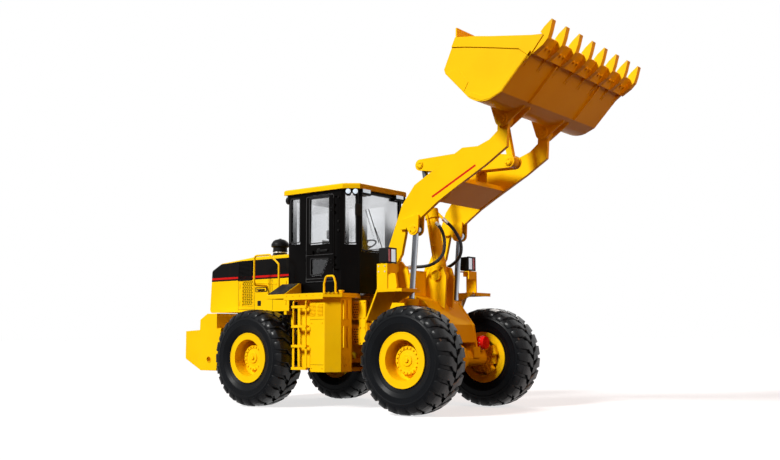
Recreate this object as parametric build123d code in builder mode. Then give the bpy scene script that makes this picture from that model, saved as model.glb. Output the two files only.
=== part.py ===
from build123d import *
from math import cos, hypot, radians, sin
import os

# A wheel loader of the five-tonne class, arms raised and bucket rolled back.
# Millimetres. X is forward, Y is left, Z is up, and the ground is Z = 0. While it is
# built, X = 0 is the steering pivot; the pieces are written with X = 0 at mid length.

# ---- wheels and axles ----
wheel_base = 3150
track = 2180
axle_z = 790  # height the pieces are drawn at; larger tyres lift the whole machine
tyre_radius = 790
tyre_width = 595
rim_radius = 405  # outside of the flanges
rim_seat = 322  # where the beads sit
rim_width = 500
hub_radius = 205
hub_face_depth = 135  # from the outer flange in to the planetary hub's cover
axle_radius = 125
shaft_length = 1100  # propeller shaft, from the axle to its centre joint
run_gap = 0.3  # running clearance of parts that seat on each other
move_gap = 8  # clearance of parts that pass each other

# ---- pivots of the lift arms and of the Z-bar linkage (X, Z), arms raised ----
arm_pivot = (830, 2190)
bucket_pin = (2910, 4230)
lift_eye = (1310, 2755)
lift_base = (1120, 540)
tilt_base = (1360, 2070)
rocker_top = (1040, 3856)
rocker_pivot = (2010, 3795)
rocker_low = (2669, 3729)
bucket_lug = (2540, 4450)

# ---- lift arms ----
arm_y = 600  # middle of each arm plate
arm_plate = 64
cheek = 28  # plates beside the lift cylinders' eyes
eye_gap = 108  # between those plates
arm_pin_radius = 50

# ---- rocker and link ----
rocker_gap = 158  # between the rocker's two plates
rocker_plate = 32
link_width = 110
lug_plate = 40

# ---- cylinders ----
lift_rod_radius = 45
lift_barrel_radius = 100
lift_barrel_foot = 100  # along the cylinder, from the base pin
lift_cheek = 95
lift_range = 84  # degrees down from fully raised
tilt_rod_radius = 48
tilt_barrel_radius = 98
tilt_barrel_top = 1080
eye_radius = 88

# ---- hoses from the tilt cylinder's ports back over the frame, as their corners ----
hose_radius = 17
hose_bend = 150
nut_radius = 23
tilt_hose_routes = (
    ((1330, -75, 2900), (1520, -140, 2700), (1520, -190, 2330), (1250, -250, 2205), (1020, -400, 2195)),
    ((1370, 50, 2975), (1640, 90, 2700), (1640, 150, 2400), (1330, 230, 2235), (1020, 400, 2195)),
)

# ---- bucket ----
bucket_width = 2900
bucket_angle = 46  # floor above level, rolled back
bucket_wall = 22
bucket_side = 28
wear_plate = 16  # outside each cheek, along its free edge
edge_plate = 36
ear_plate = 36
tooth_count = 8

# ---- front frame ----
frame_half = 468  # middle of the inner tower plates
tower_plate = 40
outer_tower_y = 690
guard_y = 600
steer_pin_radius = 60

# ---- rear frame, counterweight and hood ----
rear_end = -3330
beam_y = 430
beam_plate = 40
counterweight_half = 1200
hood_half = 650
hood_front = -1310
hood_wall = 30

# ---- cab ----
cab_rear = -1230
cab_side_front = -70
cab_front = 160
cab_half = 750
cab_front_half = 560
cab_floor = 1812
cab_top = 3500
cab_wall = 45
pane = 8
door_gap = 6
roof_thick = 90
deck_top = 1812
deck_plate = 70


def side_plane(y):
    """A sketch plane standing in X and Z at the given Y."""
    return Plane.XZ.offset(-y)


def bucket_plane(y):
    """The bucket's own plane: origin on its pin, X along its floor."""
    turn = radians(bucket_angle)
    origin = (bucket_pin[0], y, bucket_pin[1])
    return Plane(origin=origin, x_dir=(cos(turn), 0, sin(turn)), z_dir=(0, -1, 0))


def in_bucket(point):
    """A point of the machine in the bucket's own plane."""
    turn = radians(bucket_angle)
    dx, dz = point[0] - bucket_pin[0], point[1] - bucket_pin[1]
    return (dx * cos(turn) + dz * sin(turn), dz * cos(turn) - dx * sin(turn))


def plate(points, plane, thickness, corner=0, mode=Mode.ADD):
    """A flat plate from an outline of straight edges, centred on its plane."""
    with BuildSketch(plane) as outline:
        with BuildLine():
            Polyline(*points, close=True)
        make_face()
        if corner:
            fillet(outline.vertices(), corner)
    extrude(outline.sketch, amount=thickness / 2, both=True, mode=mode)


def strap(circles, plane, thickness, mode=Mode.ADD):
    """A plate whose outline is the tight band round a few circles (x, z, radius)."""
    with BuildSketch(plane) as outline:
        for x, z, radius in circles:
            with Locations((x, z)):
                Circle(radius)
        make_hull()
    extrude(outline.sketch, amount=thickness / 2, both=True, mode=mode)


def disc(point, plane, radius, thickness, mode=Mode.ADD):
    """A round boss, pin or bore across its plane."""
    with BuildSketch(plane) as outline:
        with Locations(point):
            Circle(radius)
    extrude(outline.sketch, amount=thickness / 2, both=True, mode=mode)


def block(low, high, mode=Mode.ADD):
    """A box from its lowest to its highest corner."""
    size = [b - a for a, b in zip(low, high)]
    middle = [(a + b) / 2 for a, b in zip(low, high)]
    with Locations(tuple(middle)):
        Box(*size, mode=mode)


def along(start, end, distance):
    """The point at a distance from start towards end."""
    span = hypot(end[0] - start[0], end[1] - start[1])
    return tuple(a + (b - a) * distance / span for a, b in zip(start, end))


def bar(start, end, y, radius, mode=Mode.ADD):
    """A round bar in the XZ plane from start to end."""
    span = hypot(end[0] - start[0], end[1] - start[1])
    lean = (end[0] - start[0], 0, end[1] - start[1])
    with BuildSketch(Plane(origin=(start[0], y, start[1]), z_dir=lean)) as ring:
        Circle(radius)
    extrude(ring.sketch, amount=span, mode=mode)


def tube(points, bend, radius):
    """A round tube along straight runs with bent corners."""
    with BuildLine() as path:
        FilletPolyline(*points, radius=bend)
    with BuildSketch(Plane(origin=path.line @ 0, z_dir=path.line % 0)) as ring:
        Circle(radius)
    sweep(ring.sketch, path=path.line)


def onward(start, end, distance):
    """The point past end, in a line with start, in space."""
    span = hypot(*(b - a for a, b in zip(start, end)))
    return tuple(b + (b - a) * distance / span for a, b in zip(start, end))


def union_nut(start, end, radius, mode=Mode.ADD):
    """A round fitting between two points in space."""
    lean = [b - a for a, b in zip(start, end)]
    with BuildSketch(Plane(origin=start, z_dir=lean)) as ring:
        Circle(radius)
    extrude(ring.sketch, amount=hypot(*lean), mode=mode)


def mirrored(side, low, high):
    """A box given for the left side, made on the chosen side."""
    near, far = sorted((side * low[1], side * high[1]))
    return (low[0], near, low[2]), (high[0], far, high[2])


axle_x = wheel_base / 2
pieces = {}

# ================= wheels =================
# Deep-dished rims with a planetary hub, and plain tyres on their bead seats.
rim_half = rim_width / 2
hub_outer = rim_half - hub_face_depth
hub_inner = -rim_half + 30
spindle_y = track / 2 + hub_inner  # where the axle's flange meets the hub
# half the tyre's outline: how far inside its radius, and how far in from its widest plane
tyre_section = ((-340, 26), (-270, 5), (-190, 0), (-120, 6), (-65, 24), (-24, 52), (-6, 130), (0, 215))
for end, wheel_x in (("front", axle_x), ("rear", -axle_x)):
    for hand, side in (("left", 1), ("right", -1)):
        middle = (wheel_x, side * track / 2, axle_z)
        section = Plane(origin=middle, x_dir=(1, 0, 0), z_dir=(0, 0, side))
        spin_axis = Axis(middle, (0, 1, 0))
        with BuildPart() as rim:
            with BuildSketch(section):
                with BuildLine():
                    Polyline(
                        (rim_seat - 34, -rim_half),
                        (rim_radius, -rim_half),
                        (rim_radius, -rim_half + 22),
                        (rim_seat, -rim_half + 34),
                        (rim_seat, rim_half - 34),
                        (rim_radius, rim_half - 22),
                        (rim_radius, rim_half),
                        (rim_seat - 24, rim_half),
                        (rim_seat - 34, 60),
                        (rim_seat - 60, 20),
                        (hub_radius - 8, 20),
                        (hub_radius - 8, hub_outer - 34),
                        (hub_radius - 30, hub_outer - 12),
                        (90, hub_outer),
                        (0, hub_outer),
                        (0, hub_inner),
                        (170, hub_inner),
                        (190, -20),
                        (rim_seat - 60, -20),
                        (rim_seat - 34, -60),
                        close=True,
                    )
                make_face()
            revolve(axis=spin_axis)
        pieces[f"rim_{end}_{hand}"] = rim

        with BuildPart() as tyre:
            with BuildSketch(section):
                with BuildLine():
                    Polyline(
                        (rim_seat, rim_half - 34), (rim_radius, rim_half - 22),
                        *((tyre_radius + r, tyre_width / 2 - dip) for r, dip in tyre_section),
                        *((tyre_radius + r, dip - tyre_width / 2)
                          for r, dip in reversed(tyre_section)),
                        (rim_radius, -rim_half + 22), (rim_seat, -rim_half + 34), close=True,
                    )
                make_face()
            revolve(axis=spin_axis)
        pieces[f"tyre_{end}_{hand}"] = tyre

# ================= axles =================
# A cast housing with its differential, spindle flanges and the propeller shaft's nose.
for end, wheel_x, nose in (("front", axle_x, -1), ("rear", -axle_x, 1)):
    with BuildPart() as axle:
        with BuildSketch(Plane(origin=(wheel_x, 0, axle_z), x_dir=(1, 0, 0), z_dir=(0, 1, 0))):
            Circle(axle_radius)
        extrude(amount=spindle_y - 60 - run_gap, both=True)
        with Locations((wheel_x, 0, axle_z)):
            Sphere(235)
        for side in (1, -1):
            with Locations((wheel_x, side * (spindle_y - 40 - run_gap), axle_z)):
                Cylinder(175, 80, rotation=(90, 0, 0))
            # saddle under the frame
            block((wheel_x - 150, side * 440 - 90, axle_z),
                  (wheel_x + 150, side * 440 + 90, axle_z + 170))
            # brake caliper inside the rim, on a bracket of the spindle's flange
            for low, high in (((100, 800, -100), (250, 846, 100)), ((200, 820, -100), (250, 950, 100))):
                x1, x2 = sorted((wheel_x - nose * low[0], wheel_x - nose * high[0]))
                block(*mirrored(side, (x1, low[1], axle_z + low[2]), (x2, high[1], axle_z + high[2])))
        with BuildSketch(Plane(origin=(wheel_x, 0, axle_z), z_dir=(nose, 0, 0))):
            Circle(110)
        extrude(amount=330)
        with BuildSketch(Plane(origin=(wheel_x, 0, axle_z), z_dir=(nose, 0, 0))):
            Circle(48)
        extrude(amount=shaft_length)
    pieces[f"{end}_axle"] = axle

# ================= front frame =================
# Two towers carry the arms between plates; a box joins them over the axle.
frame_bottom = axle_z + 170
lug_top = 1330
lug_low = 640
lug_thick = 60
tower_outline = [
    (330, 620), (330, 1360), (620, 1700), (690, 2150), (735, 2290), (830, 2330), (940, 2285),
    (1060, 2150), (1160, 1760), (1380, 1655), (1560, 1425), (1650, 1310), (1700, frame_bottom),
    (1250, frame_bottom), (1230, 560), (1170, 450), (1060, 440), (900, 520), (640, 600),
]
with BuildPart() as front_frame:
    for side in (1, -1):
        plate(tower_outline, side_plane(side * frame_half), tower_plate)
        strap([(*arm_pivot, 140), (720, 1900, 70), (960, 1900, 60)],
              side_plane(side * outer_tower_y), tower_plate)
        # cross plates of the tower, from the inner to the outer plate
        block(*mirrored(side, (655, frame_half, 1830), (1015, outer_tower_y, 1870)))
        disc(arm_pivot, side_plane(side * (outer_tower_y + 25)), 85, 50)
        disc(arm_pivot, side_plane(side * (frame_half - 30)), 85, 60)
        # lift cylinder base ears
        for ear_y in (arm_y - 62, arm_y + 62):
            strap([(*lift_base, 85), (930, 560, 60)], side_plane(side * ear_y), 30)
        block(*mirrored(side, (870, frame_half, 520), (910, arm_y + 77, 640)))
    # box between the inner plates: floor, rear wall, top and sloping nose
    inner = frame_half - tower_plate / 2
    for low, high in (
        ((340, -inner, 640), (380, inner, 1350)),
        ((380, -inner, 1310), (700, inner, 1350)),
        ((700, -inner, 1310), (740, inner, 1690)),
        ((700, -inner, 1650), (1180, inner, 1690)),
    ):
        block(low, high)
    plate([(1150, 1690), (1165, 1752), (1372, 1650), (1552, 1420), (1641, 1306), (1683, 1030),
           (1648, 1030), (1606, 1290), (1520, 1400), (1345, 1615), (1150, 1650)],
          side_plane(0), 2 * inner)
    # central stand of the tilt cylinder
    for side in (1, -1):
        plate([(1060, 1680), (1130, 1980), (1240, 2190), (1360, 2230), (1480, 2190),
               (1530, 2040), (1500, 1560), (1300, 1660)], side_plane(side * 105), 36)
        disc(tilt_base, side_plane(side * 140), 80, 44)
        plate([(1040, 1680), (1040, 2000), (1120, 2140), (1160, 2140), (1160, 1740)],
              side_plane(side * 300), 350)
    # guards behind the fenders, on webs from the towers
    for side in (1, -1):
        block(*mirrored(side, (185, guard_y - 12, 1000), (322, guard_y + 12, 1700)))
        block(*mirrored(side, (318, frame_half, 1000), (342, guard_y, 1340)))
    # steering lugs
    for z in (lug_top, lug_low):
        with BuildSketch(Plane.XY.offset(z)) as lug:
            with BuildLine():
                Polyline((350, -330), (350, 330), (0, 150), (0, -150), close=True)
            make_face()
            Circle(150)
        extrude(lug.sketch, amount=lug_thick)
    for z in (lug_top, lug_low):
        with Locations((0, 0, z + lug_thick / 2)):
            Cylinder(steer_pin_radius + run_gap, 3 * lug_thick, mode=Mode.SUBTRACT)
    for side in (1, -1):
        disc(arm_pivot, side_plane(side * arm_y), arm_pin_radius + run_gap, 500, Mode.SUBTRACT)
        disc(lift_base, side_plane(side * arm_y), arm_pin_radius + run_gap, 200, Mode.SUBTRACT)
    disc(tilt_base, side_plane(0), arm_pin_radius + run_gap, 500, Mode.SUBTRACT)
    for *_, before, last in tilt_hose_routes:
        union_nut(onward(before, last, run_gap), onward(before, last, 95), nut_radius)
pieces["front_frame"] = front_frame

# fenders: a level top plate with a sloping rear strip, and the lamp bracket at the corner
fender_in, fender_out = 770, 1225
fender_top = 1830
lamp_foot = 2203
with BuildPart() as front_fenders:
    for side in (1, -1):
        plate([(817, 1376), (1035, fender_top), (1500, fender_top), (1500, fender_top - 28),
               (1052, fender_top - 28), (842, 1364)],
              side_plane(side * (fender_in + fender_out) / 2), fender_out - fender_in)
        # gusset under the top plate, on a beam out from the tower
        plate([(1060, fender_top - 28), (1440, fender_top - 28), (1090, 1640), (985, 1640)],
              side_plane(side * (fender_in + 12)), 24)
        block(*mirrored(side, (1000, frame_half + tower_plate / 2 + run_gap, 1640),
                        (1095, fender_in + 12, 1720)))
        for low, high in (
            ((1040, fender_out - 24, fender_top), (1235, fender_out, lamp_foot)),
            ((1040, fender_out - 250, lamp_foot - 16), (1215, fender_out - 24, lamp_foot)),
            ((1215, fender_out - 240, lamp_foot - 135), (1235, fender_out - 24, lamp_foot)),
            ((1120, fender_out - 240, lamp_foot - 90), (1136, fender_out - 24, lamp_foot - 16)),
        ):
            block(*mirrored(side, low, high))
pieces["front_fenders"] = front_fenders

with BuildPart() as headlights:
    for side in (1, -1):
        block(*mirrored(side, (1065, 985, lamp_foot + 12), (1215, 1205, lamp_foot + 240)))
        block(*mirrored(side, (1110, 1060, lamp_foot), (1170, 1130, lamp_foot + 20)))
    fillet(headlights.edges().filter_by(Axis.X).filter_by(lambda edge: edge.length > 100), 22)
pieces["headlights"] = headlights

# ================= brake chambers on the front axle =================
with BuildPart() as brake_chambers:
    for side in (1, -1):
        chamber = Plane(origin=(axle_x + 80, side * 610, axle_z + 235), z_dir=(1, 0, 0))
        with BuildSketch(chamber) as can:
            Circle(98)
        extrude(can.sketch, amount=130)
        block(*mirrored(side, (axle_x - 60, 580, axle_z + 110), (axle_x + 82, 640, axle_z + 270)))
    disc((axle_x, axle_z), side_plane(0), axle_radius + run_gap, 1500, Mode.SUBTRACT)
pieces["brake_chambers"] = brake_chambers

# ================= rear frame =================
with BuildPart() as rear_frame:
    for side in (1, -1):
        plate([(-3150, 800), (-3150, 1240), (-1000, 1240), (-420, 1460), (-180, 1460),
               (-180, 1230), (-420, 1100), (-420, 800), (-180, 700), (-180, 560), (-700, 560),
               (-1150, 760), (-1150, frame_bottom), (-2000, frame_bottom), (-2000, 800)],
              side_plane(side * beam_y), beam_plate)
    web = beam_y - beam_plate / 2
    for low, high in (
        ((-3150, -web, 840), (-3100, web, 1240)),
        ((-1080, -web, 880), (-1040, web, 1230)),
        ((-460, -web, 600), (-420, web, 1400)),
    ):
        block(low, high)
    with Locations((-440, 0, axle_z)):
        Cylinder(90, 80, rotation=(0, 90, 0), mode=Mode.SUBTRACT)
    # posts under the decks, rails under the hood and the engine's mounts
    deck_bottom = deck_top - deck_plate
    for side in (1, -1):
        for x, foot in ((-850, 1230), (-330, 1400)):
            block(*mirrored(side, (x - 50, beam_y - 40, foot), (x + 50, beam_y + 40, deck_bottom)))
        for x in (-2250, -1400):
            block(*mirrored(side, (x - 30, beam_y - 20, 1180), (x + 30, beam_y + 40, 1560)))
            block(*mirrored(side, (x - 30, beam_y, 1500), (x + 30, hood_half - 4, 1560)))
        for x in (-2600, -1900):
            block(*mirrored(side, (x - 50, beam_y - 100, 1110), (x + 50, beam_y, 1190)))
    # two pairs of steering lugs, above and below the front frame's lugs
    for z in (lug_top, lug_low):
        for base in (z - lug_thick - move_gap, z + lug_thick + move_gap):
            with BuildSketch(Plane.XY.offset(base)) as lug:
                with BuildLine():
                    Polyline((-440, -web - 20), (-440, web + 20), (-180, web + 20), (0, 130),
                             (0, -130), (-180, -web - 20), close=True)
                make_face()
                Circle(130)
            extrude(lug.sketch, amount=lug_thick)
            with Locations((0, 0, base + lug_thick / 2)):
                Cylinder(steer_pin_radius, 2 * lug_thick, mode=Mode.SUBTRACT)
pieces["rear_frame"] = rear_frame

with BuildPart() as steering_pins:
    for z in (lug_top, lug_low):
        with Locations((0, 0, z + lug_thick / 2)):
            Cylinder(steer_pin_radius, 3 * lug_thick + 2 * move_gap)
pieces["steering_pins"] = steering_pins

# counterweight: a heavy casting round the frame's tail, with tie-down holes
tie_hole = (-2670, 748)
tie_hole_radius = 45
with BuildPart() as counterweight:
    with BuildSketch(side_plane(0)) as casting:
        with BuildLine():
            Polyline((rear_end, 785), (rear_end, 1230), (-2372, 1280), (-2480, 560),
                     (-2870, 560), close=True)
        make_face()
    extrude(casting.sketch, amount=counterweight_half, both=True)
    for side in (1, -1):
        plate([(-2910, 1240), (-2900, 1430), (-2720, 1530), (-2480, 1530), (-2475, 1240)],
              side_plane(side * 930), 540)
    seat_y = beam_y + beam_plate / 2 + run_gap
    block((-3150, -seat_y, 780), (-2300, seat_y, 1400), Mode.SUBTRACT)
    for side in (1, -1):
        disc(tie_hole, side_plane(side * (counterweight_half - 60)), tie_hole_radius, 130,
             Mode.SUBTRACT)
    fillet(counterweight.edges().filter_by(Axis.Z).group_by(Axis.X)[0], 90)
pieces["counterweight"] = counterweight

cleaner_at = (-1890, -280)
cleaner_neck = 125
cleaner_cap = 158
# hood: folded sheet shell open below and towards the cab
with BuildPart() as hood:
    with BuildSketch(side_plane(0)) as hood_side:
        with BuildLine():
            Polyline((-3280, 1560), (-3232, 2340), (-3020, 2446), (-2200, 2520),
                     (hood_front, 2526), (hood_front, 1560), close=True)
        make_face()
    extrude(hood_side.sketch, amount=hood_half, both=True)
    fillet(hood.edges().filter_by(Axis.Y).group_by(Axis.X)[0].sort_by(Axis.Z)[-1], 60)
    shoulders = hood.edges().filter_by(
        lambda edge: abs(abs(edge.center().Y) - hood_half) < 1 and edge.center().Z > 2300)
    fillet(shoulders, 50)
    with BuildSketch(side_plane(0)) as hollow:
        with BuildLine():
            Polyline((-3240, 1500), (-3195, 2300), (-3000, 2396), (-2200, 2468),
                     (hood_front + 50, 2474), (hood_front + 50, 1500), close=True)
        make_face()
    extrude(hollow.sketch, amount=hood_half - hood_wall, both=True, mode=Mode.SUBTRACT)
    with Locations((*cleaner_at, 2400)):
        Cylinder(cleaner_neck + run_gap, 400, mode=Mode.SUBTRACT)
pieces["hood"] = hood

with BuildPart() as engine_block:
    block((-2900, 100 - beam_y, 1090), (-1650, beam_y - 100, 1980))
pieces["engine_block"] = engine_block

with BuildPart() as air_cleaner:
    with BuildSketch(side_plane(cleaner_at[1])) as section:
        with BuildLine():
            neck, cap = cleaner_at[0] + cleaner_neck, cleaner_at[0] + cleaner_cap
            Polyline((cleaner_at[0], 2850), (cleaner_at[0], 2360), (neck, 2360), (neck, 2525),
                     (neck + 14, 2525), (neck + 14, 2560), (neck, 2575), (neck, 2700),
                     (cap, 2700), (cap, 2745))
            TangentArc((cleaner_at[0], 2850), (cap, 2745), tangent=(1, 0))
        make_face()
    revolve(axis=Axis((*cleaner_at, 0), (0, 0, 1)))
pieces["air_cleaner"] = air_cleaner

# ================= decks, ladders and tanks =================
deck_rear = -905
deck_outer = 1200
with BuildPart() as decks:
    for side in (1, -1):
        with BuildSketch(Plane.XY.offset(deck_bottom)) as floor_plate:
            with BuildLine():
                Polyline((deck_rear, side * 380), (deck_rear, side * deck_outer),
                         (-60, side * deck_outer), (155, side * 985), (165, side * 640),
                         (20, side * 380), close=True)
            make_face()
        extrude(floor_plate.sketch, amount=deck_top - deck_bottom - run_gap)
        # sloping tread behind the deck, down from the side of the hood
        with BuildSketch(Plane.YZ.offset(-1300)) as tread:
            with BuildLine():
                Polyline((side * 790, 2000), (side * 830, 2000), (side * deck_outer, 1800),
                         (side * deck_outer, 1742), (side * 1160, 1742), (side * 790, 1960),
                         close=True)
            make_face()
        extrude(tread.sketch, amount=1300 + deck_rear)
        for x in (-1300, deck_rear - 20):
            with BuildSketch(Plane.YZ.offset(x)) as end_plate:
                with BuildLine():
                    Polyline((side * 790, 1980), (side * 830, 1990), (side * 1190, 1790),
                             (side * 1190, 1742), (side * 790, 1742), close=True)
                make_face()
            extrude(end_plate.sketch, amount=20)
pieces["decks"] = decks

tank_bottom = 580
with BuildPart() as side_tanks:
    for side in (1, -1):
        with BuildSketch(Plane.XY.offset(tank_bottom)) as tank_plan:
            with BuildLine():
                Polyline((-400, side * 700), (-400, side * 1120), (-90, side * 1120),
                         (95, side * 940), (110, side * 700), close=True)
            make_face()
        extrude(tank_plan.sketch, amount=deck_bottom - tank_bottom)
        # the part behind the ladder stands back
        block(*mirrored(side, (-740, 640, tank_bottom + 60), (-400, 1040, deck_bottom)))
        block(*mirrored(side, (-600, 600, tank_bottom + 200), (-300, 700, 1600)))
        for y in (760, 850):
            block(*mirrored(side, (100, y, 960), (124, y + 55, 1290)))
            block(*mirrored(side, (100, y, 1400), (124, y + 55, 1700)))
pieces["side_tanks"] = side_tanks

with BuildPart() as filler_cap:
    with Locations((90, -930, deck_top)):
        Cylinder(34, 26, align=(Align.CENTER, Align.CENTER, Align.MIN))
    with Locations((90, -930, deck_top + 20)):
        Cylinder(46, 24, align=(Align.CENTER, Align.CENTER, Align.MIN))
pieces["filler_cap"] = filler_cap

ladder_x = (-700, -430)
step_tops = (650, 1000, 1310, 1620)
with BuildPart() as ladders:
    for side in (1, -1):
        for x in ladder_x:
            tube([(x, side * 1040, 1700), (x, side * 1180, 1700), (x, side * 1180, 980)], 40, 14)
            block(*mirrored(side, (x - 22, 1172, step_tops[0] - 30), (x + 22, 1184, 990)))
            for z in step_tops[1:3]:
                depth = 1120 if x == ladder_x[1] else 1040
                block(*mirrored(side, (x - 14, depth, z - 34), (x + 14, 1180, z - 8)))
        for z in step_tops:
            block(*mirrored(side, (ladder_x[0] - 24, 1160, z - 40), (ladder_x[1] + 24, 1206, z)))
pieces["ladders"] = ladders

# ================= handrails =================
rail = 17
with BuildPart() as handrails:
    for side in (1, -1):
        # round the hood's walkway, and the loop on the deck
        tube([(-1840, side * (hood_half + run_gap), 2000), (-1840, side * 950, 2000),
              (-1840, side * 950, 2500), (-1480, side * 950, 2500), (-1260, side * 950, 2330),
              (-1260, side * 950, 1944.6)], 60, rail)
        tube([(-190, side * 1020, deck_top - run_gap), (-190, side * 1020, 1960),
              (-150, side * 1020, 2080), (10, side * 1020, 2080), (50, side * 1020, 1960),
              (50, side * 1020, deck_top - run_gap)], 50, rail)
pieces["handrails"] = handrails

with BuildPart() as grab_rails:
    for side in (1, -1):
        tube([(-155, side * (cab_half + run_gap), 2200), (-155, side * 830, 2200),
              (-155, side * 830, 3380), (-155, side * (cab_half + run_gap), 3380)], 40, 12)
pieces["grab_rails"] = grab_rails

# ================= cab =================
plan = [(cab_rear, -cab_half), (cab_side_front, -cab_half), (cab_front, -cab_front_half),
        (cab_front, cab_front_half), (cab_side_front, cab_half), (cab_rear, cab_half)]
door_x = (-850, -250)
door_z = (2000, 3450)
hinge_at = (-235, cab_half + 18)  # in front of the door, outside the wall
hinge_z = (2300, 3150)
knuckle = 80
quarter_x = (-1190, -970)
corner_window = (2600, 3440, 190)
front_window = (2490, 3440, 510)
rear_window = (2560, 3400, 600)
with BuildPart() as cab_frame:
    with BuildSketch(Plane.XY.offset(cab_floor)) as cab_plan:
        with BuildLine():
            Polyline(*plan, close=True)
        make_face()
    extrude(cab_plan.sketch, amount=cab_top - cab_floor)
    with BuildSketch(Plane.XY.offset(cab_floor + 50)) as room:
        with BuildLine():
            Polyline(*plan, close=True)
        make_face()
        offset(amount=-cab_wall, kind=Kind.INTERSECTION, mode=Mode.REPLACE)
    extrude(room.sketch, amount=cab_top - cab_floor - 90, mode=Mode.SUBTRACT)
    for side in (1, -1):
        low_y = min(side * (cab_half + 20), side * (cab_half - cab_wall - 20))
        high_y = max(side * (cab_half + 20), side * (cab_half - cab_wall - 20))
        block((door_x[0], low_y, door_z[0]), (door_x[1], high_y, door_z[1]), Mode.SUBTRACT)
        block((quarter_x[0], low_y, 2660), (quarter_x[1], high_y, 3420), Mode.SUBTRACT)
        corner = Plane(
            origin=((cab_side_front + cab_front) / 2, side * (cab_half + cab_front_half) / 2, 0),
            x_dir=(0, 0, 1),
            z_dir=(cab_half - cab_front_half, side * (cab_front - cab_side_front), 0),
        )
        with BuildSketch(corner) as cut:
            with Locations((sum(corner_window[:2]) / 2, 0)):
                Rectangle(corner_window[1] - corner_window[0], corner_window[2])
        extrude(cut.sketch, amount=80, both=True, mode=Mode.SUBTRACT)
        # the frame's half of the door hinges
        for z in hinge_z:
            for low in (z - 40, z + knuckle + 2):
                block(*mirrored(side, (hinge_at[0], cab_half - 5, low),
                                (hinge_at[0] + 45, hinge_at[1] + 9, low + 38)))
            with Locations((hinge_at[0], side * hinge_at[1], z + knuckle / 2)):
                Cylinder(9, knuckle + 76)
    for x, window in ((cab_front, front_window), (cab_rear, rear_window)):
        block((x - 90, -window[2], window[0]), (x + 90, window[2], window[1]), Mode.SUBTRACT)
pieces["cab_frame"] = cab_frame

with BuildPart() as cab_glass:
    for x, window in ((cab_front - 26, front_window), (cab_rear + 18, rear_window)):
        block((x, -window[2], window[0]), (x + pane, window[2], window[1]))
    for side in (1, -1):
        low_y = min(side * (cab_half - 18), side * (cab_half - 18 - pane))
        block((quarter_x[0], low_y, 2660), (quarter_x[1], low_y + pane, 3420))
        corner = Plane(
            origin=((cab_side_front + cab_front) / 2, side * (cab_half + cab_front_half) / 2, 0),
            x_dir=(0, 0, 1),
            z_dir=(cab_half - cab_front_half, side * (cab_front - cab_side_front), 0),
        )
        with BuildSketch(corner.offset(-26)) as corner_pane:
            with Locations((sum(corner_window[:2]) / 2, 0)):
                Rectangle(corner_window[1] - corner_window[0], corner_window[2])
        extrude(corner_pane.sketch, amount=pane)
pieces["cab_glass"] = cab_glass

with BuildPart() as cab_roof:
    with BuildSketch(Plane.XY.offset(cab_top)) as roof_plan:
        with BuildLine():
            Polyline((cab_rear - 70, -800), (0, -800), (cab_front + 60, -620),
                     (cab_front + 60, 620), (0, 800), (cab_rear - 70, 800), close=True)
        make_face()
    extrude(roof_plan.sketch, amount=roof_thick)
    fillet(cab_roof.faces().sort_by(Axis.Z)[-1].edges(), 35)
pieces["cab_roof"] = cab_roof

upper_pane = [(-760, 2630), (-760, 3390), (-320, 3390), (-320, 2630)]
lower_pane = [(-735, 2110), (-735, 2390), (-330, 2375), (-480, 2110)]
for hand, side in (("left", 1), ("right", -1)):
    face_y = side * (cab_half - 20)
    with BuildPart() as door:
        plate([(door_x[0] + door_gap, door_z[0] + door_gap), (door_x[0] + door_gap, door_z[1] - door_gap),
               (door_x[1] - door_gap, door_z[1] - door_gap), (door_x[1] - door_gap, door_z[0] + door_gap)],
              side_plane(face_y), 40)
        for pane_outline in (upper_pane, lower_pane):
            plate(pane_outline, side_plane(face_y), 60, mode=Mode.SUBTRACT)
        for z in hinge_z:
            block(*mirrored(side, (hinge_at[0] - 60, cab_half - 5, z),
                            (door_x[1] - 12, cab_half + 12, z + knuckle)))
            block(*mirrored(side, (door_x[1] - 12, cab_half + 2, z),
                            (hinge_at[0], cab_half + 12, z + knuckle)))
            with Locations((hinge_at[0], side * hinge_at[1], z + knuckle / 2)):
                Cylinder(16, knuckle)
                Cylinder(9 + run_gap, 2 * knuckle, mode=Mode.SUBTRACT)
        block(*mirrored(side, (-800, cab_half - 2, 2470), (-660, cab_half + 34, 2530)))
    pieces[f"door_{hand}"] = door
    with BuildPart() as door_pane:
        for pane_outline in (upper_pane, lower_pane):
            plate(pane_outline, side_plane(face_y), pane)
    pieces[f"door_glass_{hand}"] = door_pane

# lamps under the roof's overhang, and at the cab's rear corners
with BuildPart() as work_lamps:
    for side in (1, -1):
        block(*mirrored(side, (cab_front + 8, 330, cab_top - 95), (cab_front + 52, 560, cab_top)))
        with Locations((cab_rear - 40, side * 700, cab_top - 80)):
            Cylinder(62, 60, rotation=(0, 90, 0))
        block(*mirrored(side, (cab_rear - 60, 680, cab_top - 80), (cab_rear - 20, 720, cab_top)))
pieces["work_lamps"] = work_lamps

with BuildPart() as seat:
    block((-900, -260, cab_floor + 50), (-500, 260, cab_floor + 350))
    block((-960, -260, cab_floor + 400), (-440, 260, cab_floor + 520))
    block((-960, -250, cab_floor + 520), (-840, 250, cab_floor + 1150))
    block((-800, -180, cab_floor + 350), (-560, 180, cab_floor + 400))
pieces["seat"] = seat

with BuildPart() as steering_column:
    block((-60, -130, cab_floor + 50), (60, 130, cab_floor + 420))
    bar((0, cab_floor + 400), (-180, cab_floor + 820), 0, 35)
    with BuildSketch(Plane(origin=(-180, 0, cab_floor + 820), z_dir=(-180, 0, 420))) as ring:
        Circle(210)
        Circle(180, mode=Mode.SUBTRACT)
        Rectangle(380, 30)
    extrude(ring.sketch, amount=28)
pieces["steering_column"] = steering_column

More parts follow.
